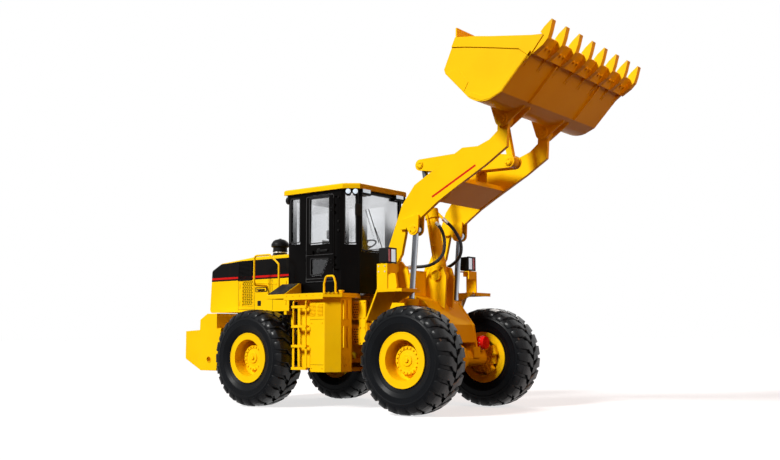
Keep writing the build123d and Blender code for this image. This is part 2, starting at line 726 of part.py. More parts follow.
# ================= lift arms =================
arm_outline = [
    (700, 2190), (715, 2330), (800, 2500), (1070, 3150), (1310, 3440), (1480, 3530),
    (2190, 3910), (2460, 3900), (2660, 3970), (2800, 4080), (2806, 4190), (2830, 4295),
    (2910, 4335), (2990, 4300), (3016, 4225), (2968, 4100), (2958, 3950), (2950, 3835),
    (2590, 3610), (2030, 3310), (1730, 3140), (1400, 2910), (1160, 2860), (1120, 2660),
    (1050, 2380), (950, 2240), (940, 2120), (830, 2070), (730, 2110),
]
with BuildPart() as arm:
    for side in (1, -1):
        plate(arm_outline, side_plane(side * arm_y), arm_plate)
        disc(bucket_pin, side_plane(side * arm_y), 112, 112)
        disc(arm_pivot, side_plane(side * arm_y), 115, 104)
        # cheeks beside the lift cylinder's eye, tied above it
        plate([(1160, 2880), (1250, 2950), (1400, 2960), (1395, 2915), (1200, 2880)],
              side_plane(side * arm_y), eye_gap)
        for lug_y in (arm_y - (eye_gap + cheek) / 2, arm_y + (eye_gap + cheek) / 2):
            strap([(*lift_eye, lift_cheek), (1180, 2880, 40), (1385, 2945, 30)],
                  side_plane(side * lug_y), cheek)
            plate([(1060, 2760), (1180, 2760), (1200, 2920), (1080, 2920)],
                  side_plane(side * lug_y), cheek)
        plate([(1060, 2760), (1110, 2760), (1130, 2920), (1080, 2920)],
              side_plane(side * arm_y), eye_gap)
    # cross box, with the lugs that carry the rocker
    plate([(1730, 3145), (2180, 3402), (2110, 3490), (1880, 3430), (1690, 3250)],
          side_plane(0), 2 * (arm_y - arm_plate / 2))
    lug_y = rocker_gap / 2 + rocker_plate + move_gap + lug_plate / 2
    for side in (1, -1):
        strap([(*rocker_pivot, 125), (1830, 3380, 60), (2080, 3440, 40)],
              side_plane(side * lug_y), lug_plate)
        disc(bucket_pin, side_plane(side * arm_y), arm_pin_radius + run_gap, 200, Mode.SUBTRACT)
        disc(lift_eye, side_plane(side * arm_y), arm_pin_radius + run_gap, 120, Mode.SUBTRACT)
    disc(rocker_pivot, side_plane(0), arm_pin_radius + run_gap, 500, Mode.SUBTRACT)
    for side in (1, -1):
        disc(arm_pivot, side_plane(side * arm_y), arm_pin_radius, 160)
        disc(arm_pivot, side_plane(side * arm_y), arm_pin_radius, 370)
pieces["arm"] = arm

# ================= rocker, link and their pins =================
plate_y = (rocker_gap + rocker_plate) / 2
with BuildPart() as rocker:
    for side in (1, -1):
        strap([(*rocker_pivot, 170), (*rocker_top, 92)], side_plane(side * plate_y), rocker_plate)
        strap([(*rocker_pivot, 150), (*rocker_low, 100)], side_plane(side * plate_y), rocker_plate)
        disc(rocker_top, side_plane(side * (plate_y + 24)), 62, 16)
        disc(rocker_low, side_plane(side * (plate_y + 24)), 68, 16)
    disc(rocker_pivot, side_plane(0), 110, rocker_gap + 20)
    disc(rocker_pivot, side_plane(0), arm_pin_radius + run_gap, 400, Mode.SUBTRACT)
pieces["rocker"] = rocker

with BuildPart() as rocker_pin:
    disc(rocker_pivot, side_plane(0), arm_pin_radius, 2 * lug_y + lug_plate + 40)
pieces["rocker_pin"] = rocker_pin

with BuildPart() as link_pin:
    disc(bucket_lug, side_plane(0), 45, 270)
pieces["link_pin"] = link_pin

with BuildPart() as link:
    plate([(rocker_low[0] - 52, rocker_low[1]), (bucket_lug[0] - 50, bucket_lug[1]),
           (bucket_lug[0] + 50, bucket_lug[1]), (rocker_low[0] + 52, rocker_low[1])],
          side_plane(0), link_width - 30)
    disc(rocker_low, side_plane(0), 90, link_width)
    disc(bucket_lug, side_plane(0), 84, link_width)
    disc(rocker_low, side_plane(0), 45, rocker_gap - 2 * run_gap)
    disc(bucket_lug, side_plane(0), 45 + run_gap, 200, Mode.SUBTRACT)
pieces["link"] = link

# ================= bucket =================
tooth_pitch = (bucket_width - 120) / (tooth_count - 1)
tooth_y = [(number - (tooth_count - 1) / 2) * tooth_pitch for number in range(tooth_count)]
with BuildPart() as bucket:
    # floor, rounded heel, back and top as one bent plate
    with BuildSketch(bucket_plane(0)) as shell:
        with BuildLine() as outer:
            Line((1362, -200), (430, -200))
            Line((430, -200), (262, -127))
            ThreePointArc((262, -127), (152, -29), (70, 187))
            Line((70, 187), (95, 733))
            Line((95, 733), (125, 792))
            Line((125, 792), (436, 900))
            Line((436, 900), (574, 944))
            Line((574, 944), (675, 1039))
            offset(amount=bucket_wall, side=Side.RIGHT)
        make_face()
    shell_half = bucket_width / 2 - wear_plate
    extrude(shell.sketch, amount=shell_half, both=True)
    for side in (1, -1):
        with BuildSketch(bucket_plane(side * (shell_half - bucket_side / 2))) as cheek_plate:
            with BuildLine():
                Line((1362, -200), (430, -200))
                Line((430, -200), (262, -127))
                ThreePointArc((262, -127), (152, -29), (70, 187))
                Polyline((70, 187), (95, 733), (125, 792), (436, 900), (574, 944), (776, 661),
                         (900, 466), (1261, -71), (1362, -200))
            make_face()
        extrude(cheek_plate.sketch, amount=bucket_side / 2, both=True)
        plate([(1362, -200), (1261, -71), (900, 466), (776, 661), (574, 944), (436, 900),
               (560, 720), (760, 400), (1020, -30), (1030, -200)],
              bucket_plane(side * (shell_half + wear_plate / 2)), wear_plate)
        # ears on both sides of each arm, and a rib along the floor over each arm
        plate([(420, -190), (440, -232), (1050, -232), (1080, -190)],
              bucket_plane(side * (arm_y + 82)), 34)
        for ear in (-1, 1):
            ear_y = side * arm_y + ear * (56 + move_gap + ear_plate / 2)
            strap([(0, 0, 108), (90, 260, 60), (330, -120, 60)], bucket_plane(ear_y), ear_plate)
        # ears of the link
        strap([(*in_bucket(bucket_lug), 84), (90, 240, 30), (110, 640, 30)],
              bucket_plane(side * (link_width / 2 + move_gap + 18)), 36)
    for y in tooth_y:
        plate([(880, -195), (1110, -195), (1110, -225), (1076, -230)], bucket_plane(y), 60)
    # cutting edge
    plate([(1100, -200), (1362, -200), (1362, -200 - edge_plate + 20), (1080, -200 - edge_plate)],
          bucket_plane(0), bucket_width)
    with BuildSketch(bucket_plane(0)) as room:
        with BuildLine():
            Line((1380, -178), (430, -178))
            Line((430, -178), (275, -110))
            ThreePointArc((275, -110), (172, -15), (92, 190))
            Polyline((92, 190), (117, 725), (140, 775), (440, 878), (600, 930), (1380, -178))
        make_face()
    extrude(room.sketch, amount=shell_half - bucket_side, both=True, mode=Mode.SUBTRACT)
    for side in (1, -1):
        disc((0, 0), bucket_plane(side * arm_y), arm_pin_radius + run_gap, 400, Mode.SUBTRACT)
    disc(in_bucket(bucket_lug), bucket_plane(0), 45 + run_gap, 400, Mode.SUBTRACT)
pieces["bucket"] = bucket

with BuildPart() as bucket_pins:
    for side in (1, -1):
        disc(bucket_pin, side_plane(side * arm_y), arm_pin_radius, 240)
pieces["bucket_pins"] = bucket_pins

with BuildPart() as bucket_teeth:
    for y in tooth_y:
        plate([(1362, -150), (1450, -150), (1588, -172), (1588, -190), (1452, -262), (1360, -300),
               (1250, -296), (1080, -248), (1080, -236), (1362, -216)], bucket_plane(y), 92)
pieces["bucket_teeth"] = bucket_teeth

# ================= cylinders =================
lift_open = hypot(lift_eye[0] - lift_base[0], lift_eye[1] - lift_base[1])
turn = radians(-lift_range)
eye_x, eye_z = lift_eye[0] - arm_pivot[0], lift_eye[1] - arm_pivot[1]
lift_closed = hypot(
    arm_pivot[0] + eye_x * cos(turn) - eye_z * sin(turn) - lift_base[0],
    arm_pivot[1] + eye_x * sin(turn) + eye_z * cos(turn) - lift_base[1],
)
lift_stroke = lift_open - lift_closed
lift_barrel_top = lift_closed - lift_cheek - 18
with BuildPart() as lift_barrels:
    for side in (1, -1):
        bar(along(lift_base, lift_eye, lift_barrel_foot),
            along(lift_base, lift_eye, lift_barrel_top), side * arm_y, lift_barrel_radius)
        bar(lift_base, along(lift_base, lift_eye, lift_barrel_foot + 10), side * arm_y, 42)
        disc(lift_base, side_plane(side * arm_y), eye_radius, 84)
        bar(along(lift_base, lift_eye, lift_barrel_foot + 4),
            along(lift_base, lift_eye, lift_barrel_top + 50),
            side * arm_y, lift_rod_radius + run_gap, Mode.SUBTRACT)
        disc(lift_base, side_plane(side * arm_y), arm_pin_radius, 190)
pieces["lift_barrels"] = lift_barrels

with BuildPart() as lift_rods:
    for side in (1, -1):
        bar(along(lift_base, lift_eye, lift_barrel_foot + 10 + lift_stroke), lift_eye,
            side * arm_y, lift_rod_radius)
        disc(lift_eye, side_plane(side * arm_y), eye_radius - 10, eye_gap - 16)
pieces["lift_rods"] = lift_rods

with BuildPart() as tilt_barrel:
    bar(along(tilt_base, rocker_top, 60), along(tilt_base, rocker_top, tilt_barrel_top), 0,
        tilt_barrel_radius)
    bar(along(tilt_base, rocker_top, tilt_barrel_top - 150),
        along(tilt_base, rocker_top, tilt_barrel_top), 0, tilt_barrel_radius + 16)
    disc(tilt_base, side_plane(0), 95, 150)
    block((tilt_base[0] - 150, -200, tilt_base[1] - 150), (tilt_base[0] + 150, -75, tilt_base[1] + 220),
          Mode.SUBTRACT)
    block((tilt_base[0] - 150, 75, tilt_base[1] - 150), (tilt_base[0] + 150, 200, tilt_base[1] + 220),
          Mode.SUBTRACT)
    disc(tilt_base, side_plane(0), arm_pin_radius, 330)
    for first, after, *_ in tilt_hose_routes:
        union_nut(onward(after, first, run_gap), onward(after, first, 125), nut_radius)
    bar(along(tilt_base, rocker_top, 200), along(tilt_base, rocker_top, tilt_barrel_top + 50), 0,
        tilt_rod_radius + run_gap, Mode.SUBTRACT)
pieces["tilt_barrel"] = tilt_barrel

with BuildPart() as tilt_hoses:
    for route in tilt_hose_routes:
        tube(route, hose_bend, hose_radius)
pieces["tilt_hoses"] = tilt_hoses

with BuildPart() as tilt_rod:
    bar(along(tilt_base, rocker_top, 800), rocker_top, 0, tilt_rod_radius)
    disc(rocker_top, side_plane(0), 84, rocker_gap - 40)
    disc(rocker_top, side_plane(0), 45, rocker_gap - 2 * run_gap)
pieces["tilt_rod"] = tilt_rod

# ================= write =================
boxes = [piece.part.bounding_box() for piece in pieces.values()]
middle_x = (min(box.min.X for box in boxes) + max(box.max.X for box in boxes)) / 2
print("steering pivot at x =", -middle_x)
os.makedirs("parts", exist_ok=True)
for name, piece in pieces.items():
    solid = piece.part.moved(Location((-middle_x, 0, tyre_radius - axle_z)))
    solid.label = name
    export_step(solid, f"parts/{name}.step")
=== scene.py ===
from math import cos, hypot, pi, radians, sin

import bmesh
import bpy
from mathutils import Matrix, Vector


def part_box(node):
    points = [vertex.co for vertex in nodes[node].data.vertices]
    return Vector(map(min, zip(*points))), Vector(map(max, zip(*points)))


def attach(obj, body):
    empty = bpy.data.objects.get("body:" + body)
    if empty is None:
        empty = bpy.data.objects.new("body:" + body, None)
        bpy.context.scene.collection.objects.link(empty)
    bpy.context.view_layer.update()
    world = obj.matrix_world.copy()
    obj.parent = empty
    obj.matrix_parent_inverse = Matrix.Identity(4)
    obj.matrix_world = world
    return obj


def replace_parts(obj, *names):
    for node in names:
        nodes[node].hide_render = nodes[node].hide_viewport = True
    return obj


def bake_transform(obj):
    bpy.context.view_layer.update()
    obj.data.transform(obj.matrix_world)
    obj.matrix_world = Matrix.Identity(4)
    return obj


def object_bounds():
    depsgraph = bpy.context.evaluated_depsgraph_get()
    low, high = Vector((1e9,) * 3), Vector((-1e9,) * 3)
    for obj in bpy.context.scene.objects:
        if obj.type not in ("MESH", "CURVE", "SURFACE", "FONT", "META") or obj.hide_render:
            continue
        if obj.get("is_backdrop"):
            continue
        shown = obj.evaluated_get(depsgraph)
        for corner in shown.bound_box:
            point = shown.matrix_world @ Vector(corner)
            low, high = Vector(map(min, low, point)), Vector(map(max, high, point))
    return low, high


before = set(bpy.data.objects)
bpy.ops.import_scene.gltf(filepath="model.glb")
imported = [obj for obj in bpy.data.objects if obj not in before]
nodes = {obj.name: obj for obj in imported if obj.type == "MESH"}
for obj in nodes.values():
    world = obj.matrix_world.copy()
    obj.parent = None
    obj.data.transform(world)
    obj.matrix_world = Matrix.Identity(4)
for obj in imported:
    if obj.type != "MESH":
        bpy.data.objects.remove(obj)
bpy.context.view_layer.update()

# ==================== camera ====================
# A long lens stands low ahead of the machine's right front wheel and looks up at the raised
# bucket. Places along the machine are counted from the steering joint's pin.
pin_low, pin_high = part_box("steering_pins")
steer_x = (pin_low.x + pin_high.x) / 2
camera = bpy.data.objects.new("camera", bpy.data.cameras.new("camera"))
camera.data.lens = 43.08
camera.matrix_world = (
    Matrix.Translation((steer_x + 9.669, -12.079, 1.153))
    @ Matrix.Rotation(radians(37.67), 4, "Z")
    @ Matrix.Rotation(radians(96.41), 4, "X")
    @ Matrix.Rotation(radians(-0.25), 4, "Z")
)
scene = bpy.context.scene
scene.collection.objects.link(camera)
scene.camera = camera
scene.view_settings.view_transform = "Standard"


# ==================== studio ====================
# A white sweep under one large soft lamp beside the machine, with a weak warm lamp ahead
# of it and a weaker one behind.
class Wire:
    """A socket of a node tree. The operators build Math nodes."""

    def __init__(self, tree, socket):
        self.tree, self.socket = tree, socket

    def calc(self, operation, first, second=0.0):
        return self.tree.node("ShaderNodeMath", {"operation": operation}, {0: first, 1: second})

    def __add__(self, other):
        return self.calc("ADD", self, other)

    def __radd__(self, other):
        return self.calc("ADD", other, self)

    def __sub__(self, other):
        return self.calc("SUBTRACT", self, other)

    def __rsub__(self, other):
        return self.calc("SUBTRACT", other, self)

    def __mul__(self, other):
        return self.calc("MULTIPLY", self, other)

    def __rmul__(self, other):
        return self.calc("MULTIPLY", other, self)

    def __truediv__(self, other):
        return self.calc("DIVIDE", self, other)

    def __gt__(self, other):
        return self.calc("GREATER_THAN", self, other)

    def __lt__(self, other):
        return self.calc("LESS_THAN", self, other)

    def __abs__(self):
        return self.calc("ABSOLUTE", self)


class Tree:
    """A node tree under construction."""

    def __init__(self, tree):
        self.inside = tree

    def feed(self, socket, value):
        if isinstance(value, Wire):
            self.inside.links.new(value.socket, socket)
        else:
            socket.default_value = value

    def node(self, kind, settings, values, out=0):
        made = self.inside.nodes.new(kind)
        for key, value in settings.items():
            setattr(made, key, value)
        for key, value in values.items():
            self.feed(made.inputs[key], value)
        return Wire(self, made.outputs[out])


class Shader(Tree):
    """The nodes of a material, or of the world."""

    def __init__(self, name, owner=None):
        self.owner = owner or bpy.data.materials.new(name)
        self.owner.use_nodes = True
        super().__init__(self.owner.node_tree)
        self.place = self.node("ShaderNodeTexCoord", {}, {}, "Object")

    def axes(self):
        split = self.node("ShaderNodeSeparateXYZ", {}, {0: self.place}).socket.node
        return [Wire(self, socket) for socket in split.outputs]

    def seen(self):
        """1 where the surface meets the eye, a reflection or a look through glass."""
        eye, gloss, through = [self.node("ShaderNodeLightPath", {}, {}, f"Is {ray} Ray")
                               for ray in ("Camera", "Glossy", "Transmission")]
        return self.node("ShaderNodeMath", {"operation": "MINIMUM"}, {0: eye + gloss + through, 1: 1.0})

    def noise(self, scale, detail=3.0, stretch=(1, 1, 1)):
        place = self.node("ShaderNodeMapping", {}, {"Vector": self.place, "Scale": stretch})
        values = {"Vector": place, "Scale": scale, "Detail": detail}
        return self.node("ShaderNodeTexNoise", {}, values)

    def rise(self, value, low, high):
        """0 at low and 1 at high, smooth between them, either way round."""
        if low > high:
            return 1 - self.rise(value, high, low)
        values = {"Value": value, "From Min": low, "From Max": high}
        return self.node("ShaderNodeMapRange", {"interpolation_type": "SMOOTHSTEP"}, values)

    def mix(self, share, first, second):
        values = {"Factor": share, 6: first, 7: second}
        return self.node("ShaderNodeMix", {"data_type": "RGBA"}, values, 2)

    def bump(self, height, distance, strength=0.5, edge=0.0):
        values = {"Height": height, "Distance": distance, "Strength": strength}
        if edge:
            values["Normal"] = self.node("ShaderNodeBevel", {"samples": 4}, {"Radius": edge})
        return self.node("ShaderNodeBump", {}, values)

    def finish(self, values):
        for key, value in values.items():
            self.feed(self.inside.nodes["Principled BSDF"].inputs[key], value)
        return self.owner


def colour(red, green, blue):
    return (red, green, blue, 1.0)


world = Shader("world", bpy.data.worlds.new("world"))
scene.world = world.owner
sky = world.mix(world.seen(), colour(0.105, 0.045, 0.045), colour(1, 1, 1))
world.feed(world.inside.nodes["Background"].inputs["Color"], sky)

# name, kind, place, point it is aimed at, energy, size or angle, tint
lamps = (
    ("key", "SUN", (-4.0, -15.5, 12.5), (0.0, 0.0, 1.8), 4.1, radians(14), (1.0, 0.99, 0.965)),
    ("front", "AREA", (12.0, -1.0, 8.5), (0.0, 0.0, 2.0), 560, 5.0, (1.0, 0.50, 0.28)),
    ("rim", "AREA", (-6.0, 10.0, 9.0), (0.0, 0.0, 2.5), 500, 6.0, (1.0, 0.93, 0.85)),
)
for name, kind, place, aim, energy, size, tint in lamps:
    lamp = bpy.data.objects.new(name, bpy.data.lights.new(name, kind))
    lamp.data.energy, lamp.data.color = energy, tint
    setattr(lamp.data, "angle" if kind == "SUN" else "size", size)
    lamp.location = place
    lamp.rotation_euler = (Vector(aim) - Vector(place)).to_track_quat("-Z", "Y").to_euler()
    scene.collection.objects.link(lamp)

floor_reach = 200
floor_mesh = bpy.data.meshes.new("floor")
floor_mesh.from_pydata([(x * floor_reach, y * floor_reach, 0) for x, y in ((-1, -1), (1, -1), (1, 1), (-1, 1))],
                       [], [(0, 1, 2, 3)])
floor = bpy.data.objects.new("floor", floor_mesh)
scene.collection.objects.link(floor)
paper = Shader("floor")
seen = paper.seen()
floor_mesh.materials.append(paper.finish({
    "Base Color": paper.mix(seen, colour(0.09, 0.020, 0.018), colour(0.42, 0.42, 0.43)),
    "Roughness": 1.0, "Specular IOR Level": 0.0,
    "Emission Color": paper.mix(seen, colour(0, 0, 0), colour(0.70, 0.70, 0.70)),
    "Emission Strength": 1.0}))
floor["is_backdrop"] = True


# ==================== tyres ====================
# 23.5-25 loader tyres: a bias-ply carcass with moulded chevron lugs, staggered by half a
# pitch across the middle, and bars that run down onto the shoulder.
class Maker:
    """Gathers the solids of one piece and makes them one object on a body."""

    def __init__(self):
        self.mesh = bmesh.new()

    def skin(self, rings, closed=True, caps=True):
        """Faces between rings of equal length; not closed, the last ring meets the first."""
        made = [[self.mesh.verts.new(point) for point in ring] for ring in rings]
        count = len(made[0])
        pairs = list(zip(made, made[1:])) + ([(made[-1], made[0])] if not closed else [])
        for one, two in pairs:
            for i in range(count):
                j = (i + 1) % count
                self.mesh.faces.new((one[i], one[j], two[j], two[i]))
        if caps and closed:
            self.mesh.faces.new(made[0][::-1])
            self.mesh.faces.new(made[-1])

    def box(self, low, high, round=0.0, turn=None):
        """A box between two corners, its edges rounded; turn is a matrix for it."""
        made = bmesh.ops.create_cube(self.mesh, size=1.0)["verts"]
        low, high = Vector(low), Vector(high)
        size = Matrix.Diagonal([abs(s) for s in high - low] + [1.0])
        place = (turn or Matrix()) @ Matrix.Translation((low + high) / 2) @ size
        bmesh.ops.transform(self.mesh, verts=made, matrix=place)
        if round:
            edges = list({edge for vert in made for edge in vert.link_edges})
            bmesh.ops.bevel(self.mesh, geom=edges, offset=round, segments=2, profile=0.5, affect="EDGES")

    def slab(self, outline, start, reach):
        """A flat outline of points, thickened by the vector reach."""
        start, reach = Vector(start), Vector(reach)
        points = [start + Vector(point) for point in outline]
        self.skin([points, [point + reach for point in points]])

    def spun(self, profile, place, axis, steps=28):
        """A profile of (radius, height) turned about an axis; one that ends at radius 0 is capped."""
        turn = Vector((0, 0, 1)).rotation_difference(Vector(axis))
        place = Vector(place)
        rings = []
        for radius, height in profile:
            radius = max(radius, 1e-5)
            rings.append([place + turn @ Vector((radius * cos(a), radius * sin(a), height))
                          for a in (2 * pi * i / steps for i in range(steps))])
        self.skin(rings, closed=profile[0][0] == 0.0 or profile[-1][0] == 0.0)

    def tube(self, points, radius, sides=12):
        """A round bar or pipe through points that are already close together."""
        points = [Vector(point) for point in points]
        lean = (points[1] - points[0]).normalized()
        side = lean.orthogonal().normalized()
        rings = []
        for i, point in enumerate(points):
            onward = (points[min(i + 1, len(points) - 1)] - points[max(i - 1, 0)]).normalized()
            side = (lean.rotation_difference(onward) @ side).normalized()
            lean = onward
            other = lean.cross(side)
            rings.append([point + radius * (side * cos(2 * pi * k / sides) + other * sin(2 * pi * k / sides))
                          for k in range(sides)])
        self.skin(rings)

    def plain(self, name):
        """The gathered faces as a mesh, all facing outwards."""
        bmesh.ops.recalc_face_normals(self.mesh, faces=self.mesh.faces)
        mesh = bpy.data.meshes.new(name)
        self.mesh.to_mesh(mesh)
        self.mesh.free()
        return mesh

    def done(self, name, body, look, slot="yellow_paint", smooth=32):
        bmesh.ops.remove_doubles(self.mesh, verts=self.mesh.verts, dist=2e-5)
        bmesh.ops.dissolve_degenerate(self.mesh, edges=self.mesh.edges, dist=1e-6)
        return place_piece(name, self.plain(name), body, look, smooth)


def place_piece(name, mesh, body, look, smooth=32):
    """The last steps of every piece: smooth faces with sharp edges kept, finish and body."""
    mesh.shade_smooth()
    mesh.set_sharp_from_angle(angle=radians(smooth))
    mesh.materials.clear()
    mesh.materials.append(look)
    piece = bpy.data.objects.new(name, mesh)
    scene.collection.objects.link(piece)
    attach(piece, body)
    return piece


class Growth(Tree):
    """A Geometry Nodes tree: its inputs are named, and it ends in real faces with a material."""

    def __init__(self, name, inputs):
        self.group = bpy.data.node_groups.new(name, "GeometryNodeTree")
        super().__init__(self.group)
        for label, kind in {"Geometry": "Geometry", **inputs, "Look": "Material"}.items():
            self.group.interface.new_socket(label, in_out="INPUT", socket_type=f"NodeSocket{kind}")
        self.group.interface.new_socket("Geometry", in_out="OUTPUT", socket_type="NodeSocketGeometry")
        self.entry = self.inside.nodes.new("NodeGroupInput")

    def given(self, label):
        return Wire(self, self.entry.outputs[label])

    def finish(self, instances):
        real = self.node("GeometryNodeRealizeInstances", {}, {"Geometry": instances})
        dressed = self.node("GeometryNodeSetMaterial", {}, {"Geometry": real, "Material": self.given("Look")})
        self.feed(self.inside.nodes.new("NodeGroupOutput").inputs["Geometry"], dressed)

    def grow(self, mesh, **values):
        """The plain mesh that the tree makes from a seed mesh."""
        seed = bpy.data.objects.new("seed", mesh)
        scene.collection.objects.link(seed)
        modifier = seed.modifiers.new("growth", "NODES")
        modifier.node_group = self.group
        for item in self.group.interface.items_tree:
            if item.in_out == "INPUT" and item.name in values:
                modifier[item.identifier] = values[item.name]
        made = settled(seed)
        seed.modifiers.remove(modifier)
        bpy.data.objects.remove(seed)
        return made


def settled(worked):
    """The mesh of an object with its modifiers in force."""
    return bpy.data.meshes.new_from_object(worked.evaluated_get(bpy.context.evaluated_depsgraph_get()))


def middle_of(name):
    low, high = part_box(name)
    return (low + high) / 2


round_growth = Growth("round_a_wheel", {"Count": "Int"})
index = round_growth.node("GeometryNodeInputIndex", {}, {})
angle = index * (2 * pi) / round_growth.given("Count")
turn = round_growth.node("ShaderNodeCombineXYZ", {}, {"Y": angle})
hubs = round_growth.node("GeometryNodePoints", {}, {"Count": round_growth.given("Count")})
round_growth.finish(round_growth.node("GeometryNodeInstanceOnPoints", {}, {
    "Points": hubs, "Instance": round_growth.given("Geometry"), "Rotation": turn}))

# "reach" is the distance from the axle: the lugs' tops are scuffed and glossy, the grooves dusty
rubber = Shader("tyre_rubber")
reach = rubber.node("ShaderNodeAttribute", {"attribute_name": "reach"}, {}, "Fac")
dusty = rubber.rise(reach, 0.785, 0.745) * rubber.rise(reach, 0.66, 0.72)
dusty = dusty * rubber.rise(rubber.noise(7.0, 5.0), 0.35, 0.7)
scuff = rubber.rise(reach, 0.770, 0.788) * rubber.rise(rubber.noise(26.0, 4.0), 0.4, 0.7)
tone = rubber.mix(rubber.noise(3.5, 5.0), colour(0.0010, 0.0013, 0.0018), colour(0.0030, 0.0042, 0.0060))
tone = rubber.mix(dusty * 0.05 + scuff * 0.10, tone, colour(0.052, 0.046, 0.040))
grain = rubber.noise(240.0, 3.0) + rubber.noise(34.0, 3.0) * 1.5
gloss = (rubber.rise(reach, 0.665, 0.76) * 0.26 + rubber.rise(reach, 0.776, 0.788) * 0.25
         + rubber.rise(reach, 0.43, 0.46) * 0.03)
tyre_rubber = rubber.finish({
    "Base Color": tone,
    "Roughness": 0.36 + dusty * 0.35 + rubber.noise(12.0) * 0.14,
    "Specular IOR Level": 0.06, "Coat Roughness": 0.22, "Coat Weight": gloss,
    "Normal": rubber.bump(grain, 0.0009, 0.4)})

# carcass: (radius, out from the middle)
carcass = ((0.753, 0.0), (0.75, 0.12), (0.742, 0.20), (0.728, 0.246), (0.70, 0.272), (0.665, 0.286),
           (0.655, 0.2905), (0.628, 0.2920), (0.626, 0.2936), (0.620, 0.2936), (0.618, 0.2922), (0.60, 0.2925),
           (0.545, 0.2915), (0.543, 0.2932), (0.537, 0.2932), (0.535, 0.2908), (0.52, 0.2885), (0.515, 0.2845),
           (0.47, 0.2755), (0.462, 0.269), (0.435, 0.252), (0.418, 0.243), (0.404, 0.232))
inside_rim = ((0.36, 0.222), (0.36, -0.222))
# lug, from the middle outwards: (out, top radius, bottom's out, bottom radius, degrees swept
# back, half its width in degrees)
lug = ((0.010, 0.789, 0.008, 0.75, 0.0, 4.6), (0.070, 0.789, 0.070, 0.75, 2.6, 5.0),
       (0.115, 0.788, 0.115, 0.75, 7.0, 4.9), (0.175, 0.783, 0.175, 0.745, 7.6, 5.2),
       (0.2440, 0.765, 0.232, 0.728, 8.4, 5.3), (0.2725, 0.725, 0.258, 0.712, 8.9, 5.0),
       (0.2870, 0.690, 0.276, 0.684, 9.2, 4.6), (0.2905, 0.664, 0.284, 0.662, 9.3, 3.9))
lugs_round = 24
lugs = Maker()
for side, offset in ((1, 0.0), (-1, 180.0 / lugs_round)):
    rings = []
    for out, top, low_out, low_top, swept, half in lug:
        foot, shoulder = (low_out, low_top - 0.004, half + 0.8), (out, top - 0.006, half)
        crown = (out, top, half - 0.5)
        corners = [(y, r, -a) for y, r, a in (foot, shoulder, crown)] + [crown, shoulder, foot]
        rings.append([(r * cos(radians(swept + a + offset)), side * y, r * sin(radians(swept + a + offset)))
                      for y, r, a in corners])
    lugs.skin(rings)
lug_mesh = lugs.plain("lug")

sides = (("left", 1), ("right", -1))
wheels = [(end, hand, side) for end in ("front", "rear") for hand, side in sides]
for end, hand, side in wheels:
    tyre = Maker()
    profile = [*carcass, *inside_rim, *((r, -y) for r, y in carcass[:0:-1])]
    tyre.skin([[(r * cos(radians(a)), y, r * sin(radians(a))) for r, y in profile] for a in range(0, 360, 3)],
              closed=False)
    tyre.mesh.from_mesh(round_growth.grow(lug_mesh, Count=lugs_round, Look=tyre_rubber))
    mesh = tyre.plain(f"{end}_{hand}_treaded_tyre")
    reach = mesh.attributes.new("reach", "FLOAT", "POINT")
    reach.data.foreach_set("value", [hypot(vert.co.x, vert.co.z) for vert in mesh.vertices])
    mesh.transform(Matrix.Translation(middle_of(f"tyre_{end}_{hand}")))
    tyre = place_piece(mesh.name, mesh, f"wheel_{end}_{hand}", tyre_rubber, 38)
    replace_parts(tyre, f"tyre_{end}_{hand}")


# ==================== rims and hubs ====================
# Pressed five-piece steel rims in the machine's enamel, on planetary hubs with a bolted
# cover; a ring of wheel nuts stands on the disc.
def enamel(name, bright, deep, rough=0.34, dust=0.15, edge=0.006, painted=None, shine=0.05):
    """Glossy machinery enamel: slight orange peel, grime low down, faint runs."""
    s = Shader(name)
    x, y, z = s.axes()
    cloud = s.noise(1.7, 4.0)
    grime = s.rise(s.noise(9.0, 6.0), 0.50, 0.80) * s.rise(z, 1.9, 0.3) * dust
    streak = s.rise(s.noise(6.0, 4.0, (1.6, 1.6, 0.12)), 0.55, 0.78) * 0.10 * dust
    tone = s.mix(s.rise(cloud, 0.3, 0.7), bright, deep)
    if painted:
        tone = painted(s, x, y, z, tone)
    tone = s.mix(grime * 0.4 + streak, tone, colour(0.42, 0.26, 0.05))
    return s.finish({
        "Base Color": tone,
        "Roughness": rough + grime * 0.3 + cloud * 0.08,
        "Specular IOR Level": shine,
        "Normal": s.bump(s.noise(170.0, 2.0), 0.0004, 0.5, edge)})


bright_yellow, deep_yellow = colour(0.96, 0.60, 0.003), colour(0.93, 0.555, 0.002)
yellow = enamel("yellow_enamel", bright_yellow, deep_yellow)
yellow_low = enamel("yellow_enamel_low_down", bright_yellow, deep_yellow, 0.40, 0.3)


def metal(name, tone, rough, shine=1.0):
    """Bare or plated steel: blotches and fine scratches."""
    s = Shader(name)
    blotch = s.noise(9.0, 5.0)
    dark = colour(*(c * 0.6 for c in tone[:3]))
    return s.finish({
        "Base Color": s.mix(s.rise(blotch, 0.35, 0.7), tone, dark),
        "Roughness": rough + blotch * 0.18,
        "Metallic": shine,
        "Normal": s.bump(s.noise(90.0), 0.0006, 0.3)})


zinc = metal("zinc_plate", colour(0.62, 0.60, 0.55), 0.30)

